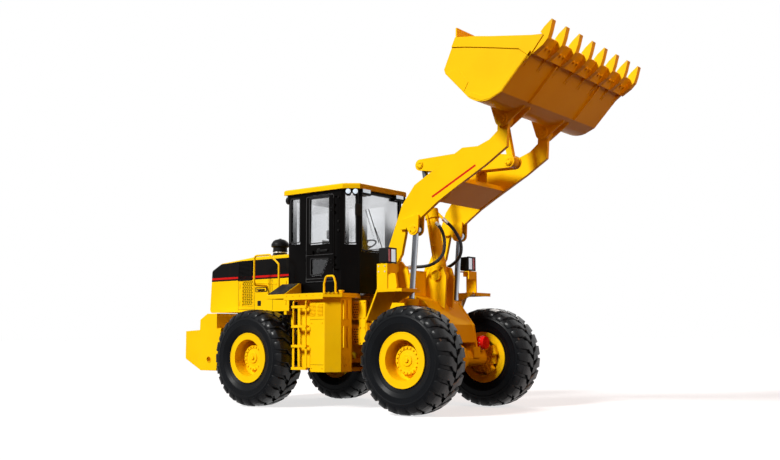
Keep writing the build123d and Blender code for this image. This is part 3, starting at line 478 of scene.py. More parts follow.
stud_growth = Growth("studs", {"Width": "Float", "Height": "Float", "Sides": "Int", "Washer": "Float"})
facing = stud_growth.node("GeometryNodeInputNamedAttribute", {"data_type": "FLOAT_VECTOR"}, {"Name": "facing"})
turn = stud_growth.node("FunctionNodeAlignRotationToVector", {"axis": "Z"}, {"Vector": facing})
round_bar = {"fill_type": "NGON"}
head = stud_growth.node("GeometryNodeMeshCylinder", round_bar, {
    "Vertices": stud_growth.given("Sides"), "Radius": stud_growth.given("Width") * 0.5,
    "Depth": stud_growth.given("Height") * 2.0})
washer = stud_growth.node("GeometryNodeMeshCylinder", round_bar, {
    "Vertices": 14, "Radius": stud_growth.given("Width") * 0.5 * stud_growth.given("Washer"),
    "Depth": stud_growth.given("Height") * 0.5})
both = stud_growth.inside.nodes.new("GeometryNodeJoinGeometry")
stud_growth.feed(both.inputs[0], washer)
stud_growth.feed(both.inputs[0], head)
stud_growth.finish(stud_growth.node("GeometryNodeInstanceOnPoints", {}, {
    "Points": stud_growth.given("Geometry"), "Instance": Wire(stud_growth, both.outputs[0]), "Rotation": turn}))


def studs(name, body, places, look, width, height, sides=6, washer=1.35):
    """Bolt heads, rivets or nuts at (place, facing) pairs, each sunk by its own height."""
    seed = bpy.data.meshes.new("seed")
    seed.from_pydata([tuple(place) for place, way in places], [], [])
    facing = seed.attributes.new("facing", "FLOAT_VECTOR", "POINT")
    facing.data.foreach_set("vector", [c for place, way in places for c in way])
    mesh = stud_growth.grow(seed, Width=width, Height=height, Sides=sides, Washer=washer, Look=look)
    return place_piece(name, mesh, body, look)


def circle(centre, facing, radius, count, start=0.0, lift=0.0):
    """(place, facing) pairs on a circle; facing runs along X or Y, and lift is along it."""
    facing = Vector(facing)
    level = Vector((0, 1, 0)) if facing.x else Vector((1, 0, 0))
    angles = [start + 2 * pi * i / count for i in range(count)]
    return [(Vector(centre) + facing * lift + radius * (level * cos(a) + Vector((0, 0, 1)) * sin(a)), facing)
            for a in angles]


dressed = set()


def dress(look, *names):
    """Gives carried-over pieces their finish."""
    dressed.update(names)
    for name in names:
        nodes[name].data.materials.clear()
        nodes[name].data.materials.append(look)


# profiles of (radius, height), and the steps round each
hub_rings = (
    (((0.155, 0.095), (0.204, 0.095), (0.206, 0.099), (0.206, 0.112), (0.203, 0.115), (0.155, 0.115)), 48),
    (((0.0, 0.10), (0.088, 0.10), (0.088, 0.124), (0.080, 0.130), (0.0, 0.130)), 32),
    (((0.0, 0.12), (0.036, 0.12), (0.036, 0.144), (0.030, 0.150), (0.0, 0.150)), 24),
    (((0.386, 0.236), (0.403, 0.236), (0.4045, 0.242), (0.4045, 0.2495), (0.400, 0.2525), (0.391, 0.2525),
      (0.386, 0.249)), 64),
)
for end, hand, side in wheels:
    wheel, rim = f"wheel_{end}_{hand}", f"rim_{end}_{hand}"
    centre, out = middle_of(rim), Vector((0, side, 0))
    cover = Maker()
    for profile, steps in hub_rings:
        cover.spun(profile, centre, out, steps)
    cover.done(f"{end}_{hand}_hub_cover", wheel, yellow_low)
    for name, count, radius, lift, width, height in (("cover_bolts", 18, 0.182, 0.115, 0.026, 0.015),
                                                     ("wheel_nuts", 20, 0.232, 0.020, 0.034, 0.024)):
        studs(f"{end}_{hand}_{name}", wheel, circle(centre, out, radius, count, pi / count, lift), yellow_low,
              width, height)
    valve = Maker()
    valve.tube([centre + Vector((x, side * y, z)) for x, y, z in
                ((0.262, 0.06, 0.055), (0.274, 0.11, 0.058), (0.302, 0.165, 0.063))], 0.006, 8)
    valve.done(f"{end}_{hand}_valve", wheel, zinc, "pin_steel")
    dress(yellow_low, rim)


# ==================== axles and brakes ====================
# Cast axle housings in enamel; a caliper grips each wheel's disc, and the front pair is
# fed by red air-over-oil chambers bolted above the axle.
def at(x, y, z):
    """A place given by its distance ahead of the steering pin."""
    return Vector((steer_x + x, y, z))


red = enamel("red_enamel", colour(0.80, 0.014, 0.010), colour(0.66, 0.010, 0.008), 0.3, 0.3)
chamber_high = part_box("brake_chambers")[1]
can_profile = ((0.0, -0.135), (0.101, -0.135), (0.101, -0.086), (0.112, -0.082), (0.112, -0.062), (0.101, -0.058),
               (0.101, -0.010), (0.090, 0.002), (0.045, 0.006), (0.040, 0.012), (0.0, 0.014))
ahead = Vector((1, 0, 0))
for hand, side in sides:
    centre = Vector((chamber_high.x, side * 0.610, chamber_high.z - 0.098))
    can = Maker()
    can.spun(can_profile, centre, ahead, 36)
    can.done(f"{hand}_brake_chamber_can", "front_frame", red, "chamber_red")
    studs(f"{hand}_chamber_bolts", "front_frame", circle(centre, ahead, 0.104, 12, lift=-0.062), zinc, 0.014, 0.010)

back_plate = ((0.135, 0.0), (0.236, 0.0), (0.240, 0.006), (0.240, 0.024), (0.228, 0.034), (0.150, 0.034))
axle_cover = ((0.0, 0.0), (0.205, 0.0), (0.205, 0.018), (0.196, 0.024), (0.15, 0.070), (0.07, 0.098), (0.0, 0.104))
caliper_x, caliper_deep = 0.262, 0.085
for end, sign in (("front", -1), ("rear", 1)):
    axle = middle_of(f"tyre_{end}_left")
    axle.y = 0
    plates, bolts = Maker(), []
    for side in (1, -1):
        inward = Vector((0, -side, 0))
        pad = axle + Vector((-sign * 0.225, side * 0.952, 0))
        plates.box(pad + Vector((-0.04, -0.004, -0.115)), pad + Vector((0.04, 0.012, 0.115)), 0.004)
        bolts += [(pad + Vector((0, side * 0.012, z)), -inward) for z in (-0.085, -0.03, 0.03, 0.085)]
        bolts += circle(axle, inward, 0.15, 14, lift=-0.778)
        # brake back plate, and two calipers over the disc
        plate = axle - inward * 0.832
        plates.spun(back_plate, plate, inward, 40)
        bolts += circle(plate, inward, 0.195, 16, pi / 16, 0.034)
        for a in (radians(-50), radians(25)):
            turn = Matrix.Translation(plate) @ Matrix.Rotation(-a, 4, "Y")
            plates.box((-sign * caliper_x - 0.036, -side * caliper_deep, -0.080),
                       (-sign * caliper_x + 0.036, 0.0, 0.080), 0.014, turn)
            bolts += [(turn @ Vector((-sign * caliper_x, -side * caliper_deep, z)), inward)
                      for z in (-0.048, 0.0, 0.048)]
    plates.spun(axle_cover, axle + Vector((sign * 0.14, 0, 0)), (sign, 0, 0), 40)
    bolts += circle(axle, (sign, 0, 0), 0.19, 16, pi / 16, 0.164)
    plates.done(f"{end}_axle_covers", f"{end}_frame", yellow_low)
    studs(f"{end}_axle_bolts", f"{end}_frame", bolts, yellow_low, 0.024, 0.015)
dress(red, "brake_chambers")
dress(yellow_low, "front_axle", "rear_axle")


# ==================== front frame ====================
# Welded plate towers in enamel. Fillet welds run where the plates meet, and bolted bosses
# keep the lift arms' pins.
bead_growth = Growth("weld_beads", {"Width": "Float"})
path = bead_growth.node("GeometryNodeMeshToCurve", {}, {"Mesh": bead_growth.given("Geometry")})
steps = bead_growth.node("GeometryNodeResampleCurve", {"mode": "LENGTH"}, {
    "Curve": path, "Length": bead_growth.given("Width") * 0.45})
ripple = bead_growth.node("GeometryNodeMeshUVSphere", {}, {
    "Segments": 6, "Rings": 4, "Radius": bead_growth.given("Width") * 0.5})
size = bead_growth.node("FunctionNodeRandomValue", {"data_type": "FLOAT"}, {2: 0.85, 3: 1.15, "Seed": 4}, 1)
bead_growth.finish(bead_growth.node("GeometryNodeInstanceOnPoints", {}, {
    "Points": steps, "Instance": ripple, "Scale": size}))


def welds(name, body, seams, width):
    """Ripples of weld metal along seams, each a list of places."""
    points, edges = [], []
    for seam in seams:
        first = len(points)
        points += [tuple(place) for place in seam]
        edges += [(i, i + 1) for i in range(first, len(points) - 1)]
    seed = bpy.data.meshes.new("seed")
    seed.from_pydata(points, edges, [])
    place_piece(name, bead_growth.grow(seed, Width=width, Look=yellow), body, yellow, 60)


arm_pivot = (0.830, 2.190)
tower_face = 0.489
bosses, bolts, seams = Maker(), [], []
boss_profile = ((0.054, 0.0), (0.090, 0.0), (0.090, 0.006), (0.084, 0.010), (0.054, 0.010))
for side in (1, -1):
    out = Vector((0, side, 0))
    boss = at(arm_pivot[0], side * 0.740, arm_pivot[1])
    bosses.spun(boss_profile, boss, out, 36)
    bolts += circle(boss, out, 0.070, 6, 0.3, 0.010)
    # the tower's sides, over the axle's saddle and at the cross plates
    bolts += [(at(x, side * tower_face, z), out) for x, z in
              ((1.43, 1.04), (1.50, 1.04), (1.62, 1.04), (1.68, 1.04), (0.78, 1.80), (0.90, 1.80))]
    # each seam: how far out it is, then its (x, z) places
    for y, *places in (
        (0.448, (0.702, 1.352), (0.702, 1.69), (1.15, 1.69)),
        (0.448, (1.15, 1.692), (1.165, 1.752), (1.372, 1.65), (1.552, 1.42), (1.641, 1.306), (1.683, 1.03)),
        (tower_face, (0.655, 1.870), (1.015, 1.870)),
        (0.670, (0.655, 1.870), (1.015, 1.870)),
        (0.124, (1.06, 1.70), (1.30, 1.67), (1.50, 1.56)),
        (tower_face, (0.318, 1.002), (0.318, 1.34)),
    ):
        seams.append([at(x, side * y, z) for x, z in places])
bosses.done("arm_pin_bosses", "front_frame", yellow)
studs("front_frame_bolts", "front_frame", bolts, yellow, 0.026, 0.016)
welds("front_frame_welds", "front_frame", seams, 0.013)


# ==================== lamps on the fenders ====================
# Moulded black housings, each with a glass headlamp on its inner side, a red lens on its
# outer side and a small marker lamp behind; a lip is folded along each fender's edge.
def moulded(name, low, high, rough, grain, spread=0.2, shine=0.10, height=0.0005, strength=0.5, scale=6.0, fine=20.0):
    """Black plastic or rubber with a fine pressed grain."""
    s = Shader(name)
    return s.finish({
        "Base Color": s.mix(s.noise(scale), low, high),
        "Roughness": rough + s.noise(fine) * spread, "Specular IOR Level": shine,
        "Normal": s.bump(s.noise(grain), height, strength)})


plastic = moulded("black_plastic", colour(0.003, 0.003, 0.003), colour(0.007, 0.007, 0.007), 0.34, 420.0)


def lens(name, tone, painted_glow):
    """Pressed lamp glass with fine flutes; though the lamp is unlit, it glows by its own emission, painted light."""
    s = Shader(name)
    flute = s.node("ShaderNodeTexWave", {"bands_direction": "Y"}, {"Vector": s.place, "Scale": 26.0})
    deep = colour(*(c * 0.55 for c in tone[:3]))
    return s.finish({
        "Base Color": s.mix(flute * 0.7 + s.noise(30.0) * 0.3, tone, deep), "Roughness": 0.10 + flute * 0.08,
        "Coat Weight": 0.6, "Coat Roughness": 0.04, "Emission Color": tone, "Emission Strength": painted_glow,
        "Normal": s.bump(flute, 0.003, 0.5)})


# painted glow: the headlamp, work lamp and red lens glasses shine by their own emission, though none of them is lit
lamp_glass_painted_glow = lens("lamp_glass_painted_glow", colour(0.66, 0.80, 0.92), 0.55)
ruby_painted_glow = lens("red_lens_painted_glow", colour(0.50, 0.012, 0.016), 0.08)
lamp_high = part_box("headlights")[1]
front, top, foot = lamp_high.x, lamp_high.z, lamp_high.z - 0.228
outer, inner = lamp_high.y, lamp_high.y - 0.220
split = inner + 0.6 * (outer - inner)
housings, glasses, rubies, lips, bolts = Maker(), Maker(), Maker(), Maker(), []
for side in (1, -1):
    # the bezel's four strips: y from and to, z from and to
    for y0, y1, z0, z1 in ((inner - 0.004, inner + 0.016, foot - 0.004, top + 0.004),
                           (outer - 0.016, outer + 0.004, foot - 0.004, top + 0.004),
                           (inner + 0.010, outer - 0.010, top - 0.018, top + 0.004),
                           (inner + 0.010, outer - 0.010, foot - 0.004, foot + 0.018)):
        housings.box((front - 0.012, side * y0, z0), (front + 0.014, side * y1, z1), 0.004)
    housings.box((front - 0.012, side * (split - 0.006), foot + 0.010),
                 (front + 0.012, side * (split + 0.006), top - 0.010), 0.003)
    for maker, y0, y1 in ((glasses, inner + 0.017, split - 0.007), (rubies, split + 0.007, outer - 0.017)):
        maker.box((front - 0.004, side * y0, foot + 0.019), (front + 0.007, side * y1, top - 0.019), 0.005)
    middle = side * (inner + outer) / 2
    housings.spun(((0.0, 0.0), (0.030, 0.0), (0.026, 0.016), (0.012, 0.020), (0.0, 0.020)),
                  (front - 0.150, middle, (top + foot) / 2), (-1, 0, 0), 24)
    bolts += [((x, middle, top), (0, 0, 1)) for x in (front - 0.03, front - 0.12)]
    # fender: folded lips and the bolts of its beam
    lips.box(at(1.040, side * 1.205, 1.782), at(1.498, side * 1.225, 1.806), 0.003)
    lips.box(at(1.486, side * 0.772, 1.776), at(1.500, side * 1.223, 1.806), 0.003)
    bolts += [(at(x, side * 1.225, z), (0, side, 0)) for x in (1.075, 1.19) for z in (2.085, 2.165)]
    bolts += [(at(x, side * 0.79, 1.83), (0, 0, 1)) for x in (1.10, 1.30, 1.44)]
housings.done("headlight_bezels", "front_frame", plastic, "lamp_black")
glasses.done("headlight_glass", "front_frame", lamp_glass_painted_glow, "lamp_black")
rubies.done("headlight_flashers", "front_frame", ruby_painted_glow, "lamp_black")
lips.done("fender_lips", "front_frame", yellow)
studs("lamp_and_fender_bolts", "front_frame", bolts, zinc, 0.018, 0.011)
dress(plastic, "headlights")


# ==================== counterweight and rear frame ====================
# One casting with a slightly rough skin, drilled for tie-downs, with tow jaws and their pin
# at the back and a lamp let in each side. The frame ahead of it is welded plate.
def pitted(s, x, y, z, tone):
    return s.mix(s.rise(s.noise(38.0, 5.0), 0.52, 0.8) * 0.25, tone, deep_yellow)


cast_yellow = enamel("cast_yellow_enamel", bright_yellow, deep_yellow, 0.4, 0.3, 0.012, pitted)
steel = metal("bare_steel", colour(0.34, 0.33, 0.32), 0.35)
iron = metal("cast_iron", colour(0.030, 0.030, 0.031), 0.60, 0.1)
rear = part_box("counterweight")[0].x
tail, bezels, lenses, bolts = Maker(), Maker(), Maker(), []
for side in (1, -1):
    tail.slab([(0, 0, 0), (0.11, 0, 0), (0.11, 0, 0.17), (0.035, 0, 0.17), (0, 0, 0.13)],
              (rear + 0.002, side * 0.075 - 0.018, 0.93), (0, 0.036, 0))
    bolts += [((rear + 0.024, side * y, z), (-1, 0, 0)) for y in (0.42, 0.47, 0.52) for z in (0.96, 1.10)]
    tail.spun(((0.046, -0.050), (0.060, -0.004), (0.060, 0.003), (0.057, 0.006), (0.049, 0.006), (0.046, 0.002)),
              at(-2.670, side * 1.200, 0.748), (0, side, 0), 36)
    bezels.box((rear + 0.0002, side * 0.86, 1.09), (rear + 0.02, side * 1.06, 1.19), 0.006)
    lenses.box((rear + 0.0002, side * 0.872, 1.102), (rear + 0.01, side * 1.048, 1.178), 0.008)
tail.spun(((0.0, 0.0), (0.028, 0.0), (0.028, 0.30), (0.040, 0.30), (0.040, 0.318), (0.0, 0.322)),
          (rear + 0.045, 0, 0.86), (0, 0, 1), 24)
tail.done("tow_jaws_and_hole_rims", "rear_frame", cast_yellow)
studs("counterweight_bolts", "rear_frame", bolts, steel, 0.034, 0.020)
bezels.done("tail_lamp_bezels", "rear_frame", plastic, "lamp_black")
lenses.done("tail_lamp_lenses", "rear_frame", ruby_painted_glow, "lamp_black")
dress(cast_yellow, "counterweight")
dress(yellow_low, "rear_frame")
dress(iron, "engine_block")
dress(steel, "steering_pins")


# ==================== hood ====================
# Folded sheet in enamel. A black band with a red line is painted round its upper part;
# steel grilles and perforated vents are let in, their holes drawn as black discs of painted shade, with a latch and
# handle each side.
def hood_paint(s, x, y, z, tone):
    ahead = x - steer_x
    crown = s.rise(ahead, -3.25, -2.95) * 0.075 + s.rise(ahead, -2.95, -2.4) * 0.025 + 2.362
    band = (z > 2.120) * (z < crown) * (abs(y) > 0.615)
    line = band * (z > 2.150) * (z < 2.185)
    return s.mix(line, s.mix(band, tone, colour(0.0035, 0.0033, 0.0033)), colour(0.55, 0.010, 0.008))


def border(x0, x1, z0, z1, width):
    """The four strips of a frame round an opening, each (x from, x to, z from, z to)."""
    return ((x0, x1, z1 - width, z1), (x0, x1, z0, z0 + width), (x0, x0 + width, z0, z1), (x1 - width, x1, z0, z1))


hood_yellow = enamel("hood_enamel", bright_yellow, deep_yellow, 0.28, 0.12, 0.008, hood_paint)
vent_black = enamel("vent_black", colour(0.0024, 0.0022, 0.0022), colour(0.0045, 0.0042, 0.0042), 0.4, 0.05, 0.0,
                    shine=0.04)
# painted shade: flat black discs stand where the vents' and guards' holes would show their shaded inside; the same
# black draws the tank's dark door seams
hole_shade_and_seam_black = enamel("painted_hole_shade_and_seams", colour(0.0010, 0.0010, 0.0010), colour(0.0020, 0.0020, 0.0020), 0.85, 0.0, 0.0,
                    shine=0.02)
hood_low, hood_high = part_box("hood")
frames, slats, latches, strips, holes = Maker(), Maker(), Maker(), Maker(), []
for side in (1, -1):
    face = side * hood_high.y

    def let_in(maker, x0, x1, z0, z1, out, sink=0.004, round=0.002):
        maker.box(at(x0, face - side * sink, z0), at(x1, face + side * out, z1), round)

    # louvred grille in the band, its slats leaning outwards
    for strip in border(-2.549, -2.205, 2.110, 2.448, 0.020):
        let_in(frames, *strip, 0.012)
    for k in range(13):
        slats.slab([(0, 0, 0), (0, side * 0.013, -0.008), (0, side * 0.014, -0.005), (0, 0, 0.014)],
                   at(-2.529, face - side * 0.002, 2.140 + k * 0.0225), (0.304, 0, 0))
    # perforated vent below it, in a pressed surround; its holes are black discs of painted shade
    for strip in border(-2.450, -2.168, 1.655, 2.104, 0.012):
        let_in(strips, *strip, 0.005)
    for row in range(14):
        stagger = 0.020 if row % 2 else 0.0
        holes += [(at(-2.420 + column * 0.049 + stagger, face, 1.690 + row * 0.0300), (0, side, 0))
                  for column in range(5)]
    # panel seams, and the ledge's line
    for x0, x1, z0, z1 in ((-2.543, -2.537, 1.585, 2.095), (-2.136, -2.130, 1.585, 2.105),
                           (-1.700, -1.694, 1.585, 2.105), (-2.537, -2.136, 1.604, 1.609)):
        let_in(slats, x0, x1, z0, z1, 0.0012, 0.002, 0)
    strips.slab([(0, 0, 0), (0.52, 0, -0.040), (0.52, 0, -0.056), (0, 0, -0.016)],
                at(-2.125, face - side * 0.004, 2.073), (0, side * 0.012, 0))
    # recessed handle, lock slot and hinges
    for strip in border(-2.109, -1.839, 1.902, 1.982, 0.010):
        let_in(latches, *strip, 0.010)
    let_in(latches, -2.060, -1.890, 1.930, 1.950, 0.026)
    let_in(latches, -2.062, -1.979, 1.660, 1.750, 0.004, 0.004, 0.003)
    for z in (1.72, 2.02):
        let_in(strips, -1.398, -1.372, z - 0.05, z + 0.05, 0.010)
        let_in(strips, -2.53, -2.50, z - 0.045, z + 0.045, 0.008)
frames.done("hood_grille_frames", "rear_frame", vent_black, "black_steel")
slats.done("hood_grille_slats", "rear_frame", vent_black, "black_steel", 20)
latches.done("hood_handles", "rear_frame", plastic, "black_steel")
strips.done("hood_trims", "rear_frame", yellow)
# the perforations: black discs of painted shade
studs("hood_perforations", "rear_frame", holes, hole_shade_and_seam_black, 0.0280, 0.0030, 8, 0.9)

# rear grille: slats between ribs on the leaning back panel, before the radiator
back, lean = hood_low.x, 0.048 / 0.780
grille = Maker()
for k in range(27):
    z = 1.66 + k * 0.024
    grille.slab([(0, 0, 0), (-0.012, 0, -0.010), (-0.013, 0, -0.007), (0, 0, 0.013)],
                (back + (z - 1.56) * lean + 0.003, -0.48, z), (0, 0.96, 0))
for y in (-0.505, -0.17, 0.15, 0.48):
    grille.slab([(0, 0, 0), (0.042, 0, 0.675), (0.030, 0, 0.675), (-0.012, 0, 0)],
                (back + 0.006 + 0.06 * lean, y, 1.63), (0, 0.025, 0))
grille.done("rear_grille", "rear_frame", vent_black, "black_steel", 20)
screws = [((back + (z - 1.56) * lean, side * 0.575, z), (-1, 0, 0.06))
          for side in (1, -1) for z in (1.64 + k * 0.16 for k in range(5))]
studs("hood_screws", "rear_frame", screws, zinc, 0.018, 0.008)
dress(hood_yellow, "hood")


# ==================== air cleaner ====================
# A moulded pre-cleaner bowl on the intake pipe: a ribbed skirt and a domed lid, held by a
# plated band clamp. The radiator's cap stands near it.
cleaner_low, cleaner_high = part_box("air_cleaner")
crown = (cleaner_low + cleaner_high) / 2
crown.z = cleaner_high.z
bowl, clamp, cap = Maker(), Maker(), Maker()
bowl.spun(((0.0, -0.490), (0.125, -0.490), (0.125, -0.327), (0.139, -0.325), (0.139, -0.292), (0.125, -0.278),
           (0.125, -0.235), (0.131, -0.230), (0.131, -0.214), (0.125, -0.209), (0.125, -0.165), (0.148, -0.152),
           (0.158, -0.146), (0.158, -0.110), (0.154, -0.098), (0.145, -0.078), (0.122, -0.045), (0.090, -0.024),
           (0.050, -0.014), (0.026, -0.012), (0.024, -0.002), (0.0, 0.0)), crown, (0, 0, 1), 56)
for k in range(36):
    bowl.box((0.150, -0.005, -0.143), (0.1578, 0.005, -0.104), 0.0,
             Matrix.Translation(crown) @ Matrix.Rotation(2 * pi * k / 36, 4, "Z"))
clamp.spun(((0.120, -0.262), (0.1275, -0.262), (0.1285, -0.258), (0.1285, -0.246), (0.1275, -0.242),
            (0.120, -0.242)), crown, (0, 0, 1), 40)
clamp.box(crown + Vector((0.05, -0.140, -0.260)), crown + Vector((0.075, -0.105, -0.244)), 0.002)
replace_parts(bowl.done("air_cleaner_bowl", "rear_frame", plastic, "black_steel"), "air_cleaner")
clamp.done("air_cleaner_clamp", "rear_frame", zinc, "pin_steel")
for profile, z, steps in ((((0.0, 0.0), (0.052, 0.0), (0.055, 0.004), (0.055, 0.008), (0.0, 0.010)), 2.487, 28),
                          (((0.0, 0.0), (0.032, 0.0), (0.032, 0.022), (0.026, 0.028), (0.0, 0.028)), 2.490, 20)):
    cap.spun(profile, at(-2.55, 0.22, z), (0.035, 0, 1), steps)
cap.done("radiator_cap", "rear_frame", plastic, "black_steel")


# ==================== decks, tanks, ladders and rails ====================
# Pressed decks with black non-slip mats; fuel and oil tanks with louvred fronts; ladders of
# serrated channel treads and bent round bar.
mat = Shader("non_slip_mat")
stipple = mat.node("ShaderNodeTexVoronoi", {}, {"Vector": mat.place, "Scale": 95.0}, "Distance")
mat_black = mat.finish({
    "Base Color": mat.mix(mat.rise(mat.noise(5.0, 5.0), 0.4, 0.7), colour(0.009, 0.009, 0.010),
                          colour(0.035, 0.031, 0.026)),
    "Roughness": 0.8 - stipple * 0.25, "Specular IOR Level": 0.10,
    "Normal": mat.bump(stipple, 0.003, 0.9)})
black = enamel("black_enamel", colour(0.0020, 0.0018, 0.0018), colour(0.0035, 0.0032, 0.0032), 0.20, 0.01,
               shine=0.03)
deck_z, tank_wall = 1.812, 1.120
tread_heights = (0.650, 1.000, 1.310, 1.620)
mats, edges, louvres, seams, teeth, screws = Maker(), Maker(), Maker(), Maker(), [], []
for side in (1, -1):
    out, wall = (0, side, 0), side * tank_wall
    # mats: one beside the door, one on the sloping tread at the back
    mats.slab([(-0.88, side * 0.775, 0), (-0.88, side * 1.165, 0), (-0.30, side * 1.165, 0),
               (-0.30, side * 0.775, 0)], at(0, 0, deck_z - 0.001), (0, 0, 0.006))
    mats.slab([(0, 0, 0), (0.36, 0, 0), (0.36, side * 0.330, -0.178), (0, side * 0.330, -0.178)],
              at(-1.28, side * 0.845, 1.993), (0, side * 0.0028, 0.0052))
    # a folded edge below each deck, with its screws
    edges.box(at(-0.905, side * 1.186, 1.712), at(-0.060, side * 1.2000, 1.744), 0.003)
    screws += [(at(-0.845 + k * 0.145, side * 1.2, 1.778), out) for k in range(6)]
    screws += [(at(-0.03 + k * 0.045, side * (1.178 - k * 0.045), deck_z), (0, 0, 1)) for k in range(4)]
    # tank: pressed louvres high on the outer wall, two sight holes low on the front, door seams
    for k in range(9):
        for x in (-0.410, -0.250):
            louvres.slab([(0, 0, 0), (0, side * 0.011, -0.006), (0, side * 0.012, -0.003), (0, 0, 0.011)],
                         at(x, wall - side * 0.002, 1.462 + k * 0.0215), (0.125, 0, 0))
    for z in (0.793, 0.689):
        louvres.spun(((0.020, 0.0), (0.030, 0.0), (0.030, 0.004), (0.027, 0.006), (0.020, 0.006)),
                     at(0.103, side * 0.848, z), (1, 0, 0), 24)
    for z in (1.400, 0.690):
        seams.box(at(-0.392, wall - side * 0.002, z), at(-0.108, wall + side * 0.0012, z + 0.005))
    screws += [(at(x, wall, z), out) for x in (-0.36, -0.14) for z in (0.64, 1.34, 1.70)]
    # serrated edges of each tread
    teeth += [(at(-0.706 + k * 0.0203, side * y, z), (0, 0, 1))
              for z in tread_heights for k in range(15) for y in (1.168, 1.198)]
mats.done("deck_mats", "rear_frame", mat_black, "cab_black")
edges.done("deck_edges", "rear_frame", yellow)
louvres.done("tank_louvres", "rear_frame", yellow_low, smooth=20)
studs("tread_teeth", "rear_frame", teeth, yellow_low, 0.009, 0.006, 4, 1.0)
studs("deck_and_tank_screws", "rear_frame", screws, yellow, 0.018, 0.009)
seams.done("tank_seams", "rear_frame", hole_shade_and_seam_black, "black_steel")
dress(yellow_low, "ladders", "side_tanks")
dress(black, "grab_rails")


# ==================== cab ====================
# Black-painted welded frame with tinted safety glass in rubber seals. Inside are a sprung
# seat with cloth cushions, a steering wheel on a leaning column, and a levers' console.
glass = Shader("tinted_glass")
height = glass.axes()[2]
clear = glass.node("ShaderNodeBsdfTransparent", {}, {"Color": colour(0.90, 0.905, 0.91)})
glare = glass.node("ShaderNodeBsdfGlossy", {}, {"Roughness": 0.06, "Color": colour(0.97, 0.98, 1.0)})
# painted reflection: the panes reflect more in loose patches and from about 2.9 m up the cab, a painted sheen over a
# faint even reflection
painted_sheen = glass.rise(glass.noise(1.3, 2.0, (1.2, 1.2, 0.5)), 0.32, 0.62) * 0.36 + 0.10
grazing = glass.node("ShaderNodeLayerWeight", {}, {"Blend": 0.25}, "Facing")
share = grazing * 0.06 + 0.035 + painted_sheen * glass.rise(height + glass.noise(1.1) * 0.5, 2.92, 3.42)
pane = glass.node("ShaderNodeMixShader", {}, {0: share, 1: clear, 2: glare})
glass.inside.links.new(pane.socket, glass.inside.nodes["Material Output"].inputs["Surface"])
glass = glass.owner
seal_rubber = moulded("seal_rubber", colour(0.003, 0.003, 0.003), colour(0.009, 0.009, 0.010), 0.5, 300.0,
                      shine=0.2, height=0.0003, strength=0.4, scale=9.0, fine=30.0)


def eased(before, corner, after, steps=5):
    """The places on a curve that cuts a corner, from before it to after it."""
    return [before * (1 - t) ** 2 + corner * 2 * t * (1 - t) + after * t ** 2
            for t in (k / steps for k in range(steps + 1))]


def edge_strip(maker, corners, normal, width, thick, radius=0.05):
    """A seal or frame round an opening with rounded corners: thick along normal."""
    normal, points = Vector(normal), []
    for i, corner in enumerate(corners):
        back = (corners[i - 1] - corner).normalized()
        onward = (corners[(i + 1) % len(corners)] - corner).normalized()
        points += eased(corner + back * radius, corner, corner + onward * radius)
    centre = sum(points, Vector()) / len(points)
    rings = []
    for i, point in enumerate(points):
        run = (points[(i + 1) % len(points)] - points[i - 1]).normalized()
        inward = normal.cross(run).normalized()
        if inward.dot(centre - point) < 0:
            inward.negate()
        rings.append([point, point + normal * thick, point + inward * width + normal * thick * 0.6,
                      point + inward * width])
    maker.skin(rings, closed=False)


def upright(x0, x1, z0, z1, y):
    """The corners of an opening in a wall that faces along Y."""
    return [at(x, y, z) for x, z in ((x0, z0), (x1, z0), (x1, z1), (x0, z1))]


def cross(half, z0, z1, x):
    """The corners of an opening in a wall that faces along X."""
    return [at(x, y, z) for y, z in ((-half, z0), (half, z0), (half, z1), (-half, z1))]


cab_wall = 0.750
seals = Maker()
for side in (1, -1):
    edge_strip(seals, upright(-1.195, -0.965, 2.675, 3.445, side * cab_wall), (0, side, 0), 0.020, 0.005)
    # the corner window's seal, on a wall that turns in towards the windscreen
    along_wall, facing = Vector((0.771, -side * 0.637, 0)), Vector((0.637, side * 0.771, 0))
    corners = [at(0.045, side * 0.655, z) + along_wall * reach
               for reach, z in ((-0.100, 2.615), (0.100, 2.615), (0.100, 3.465), (-0.100, 3.465))]
    edge_strip(seals, corners, facing, 0.020, 0.005, 0.03)
edge_strip(seals, cross(0.515, 2.505, 3.465, 0.160), (1, 0, 0), 0.022, 0.005, 0.07)
edge_strip(seals, cross(0.605, 2.575, 3.425, -1.230), (-1, 0, 0), 0.022, 0.005, 0.07)
seals.done("cab_window_seals", "rear_frame", seal_rubber, "cab_black", 40)

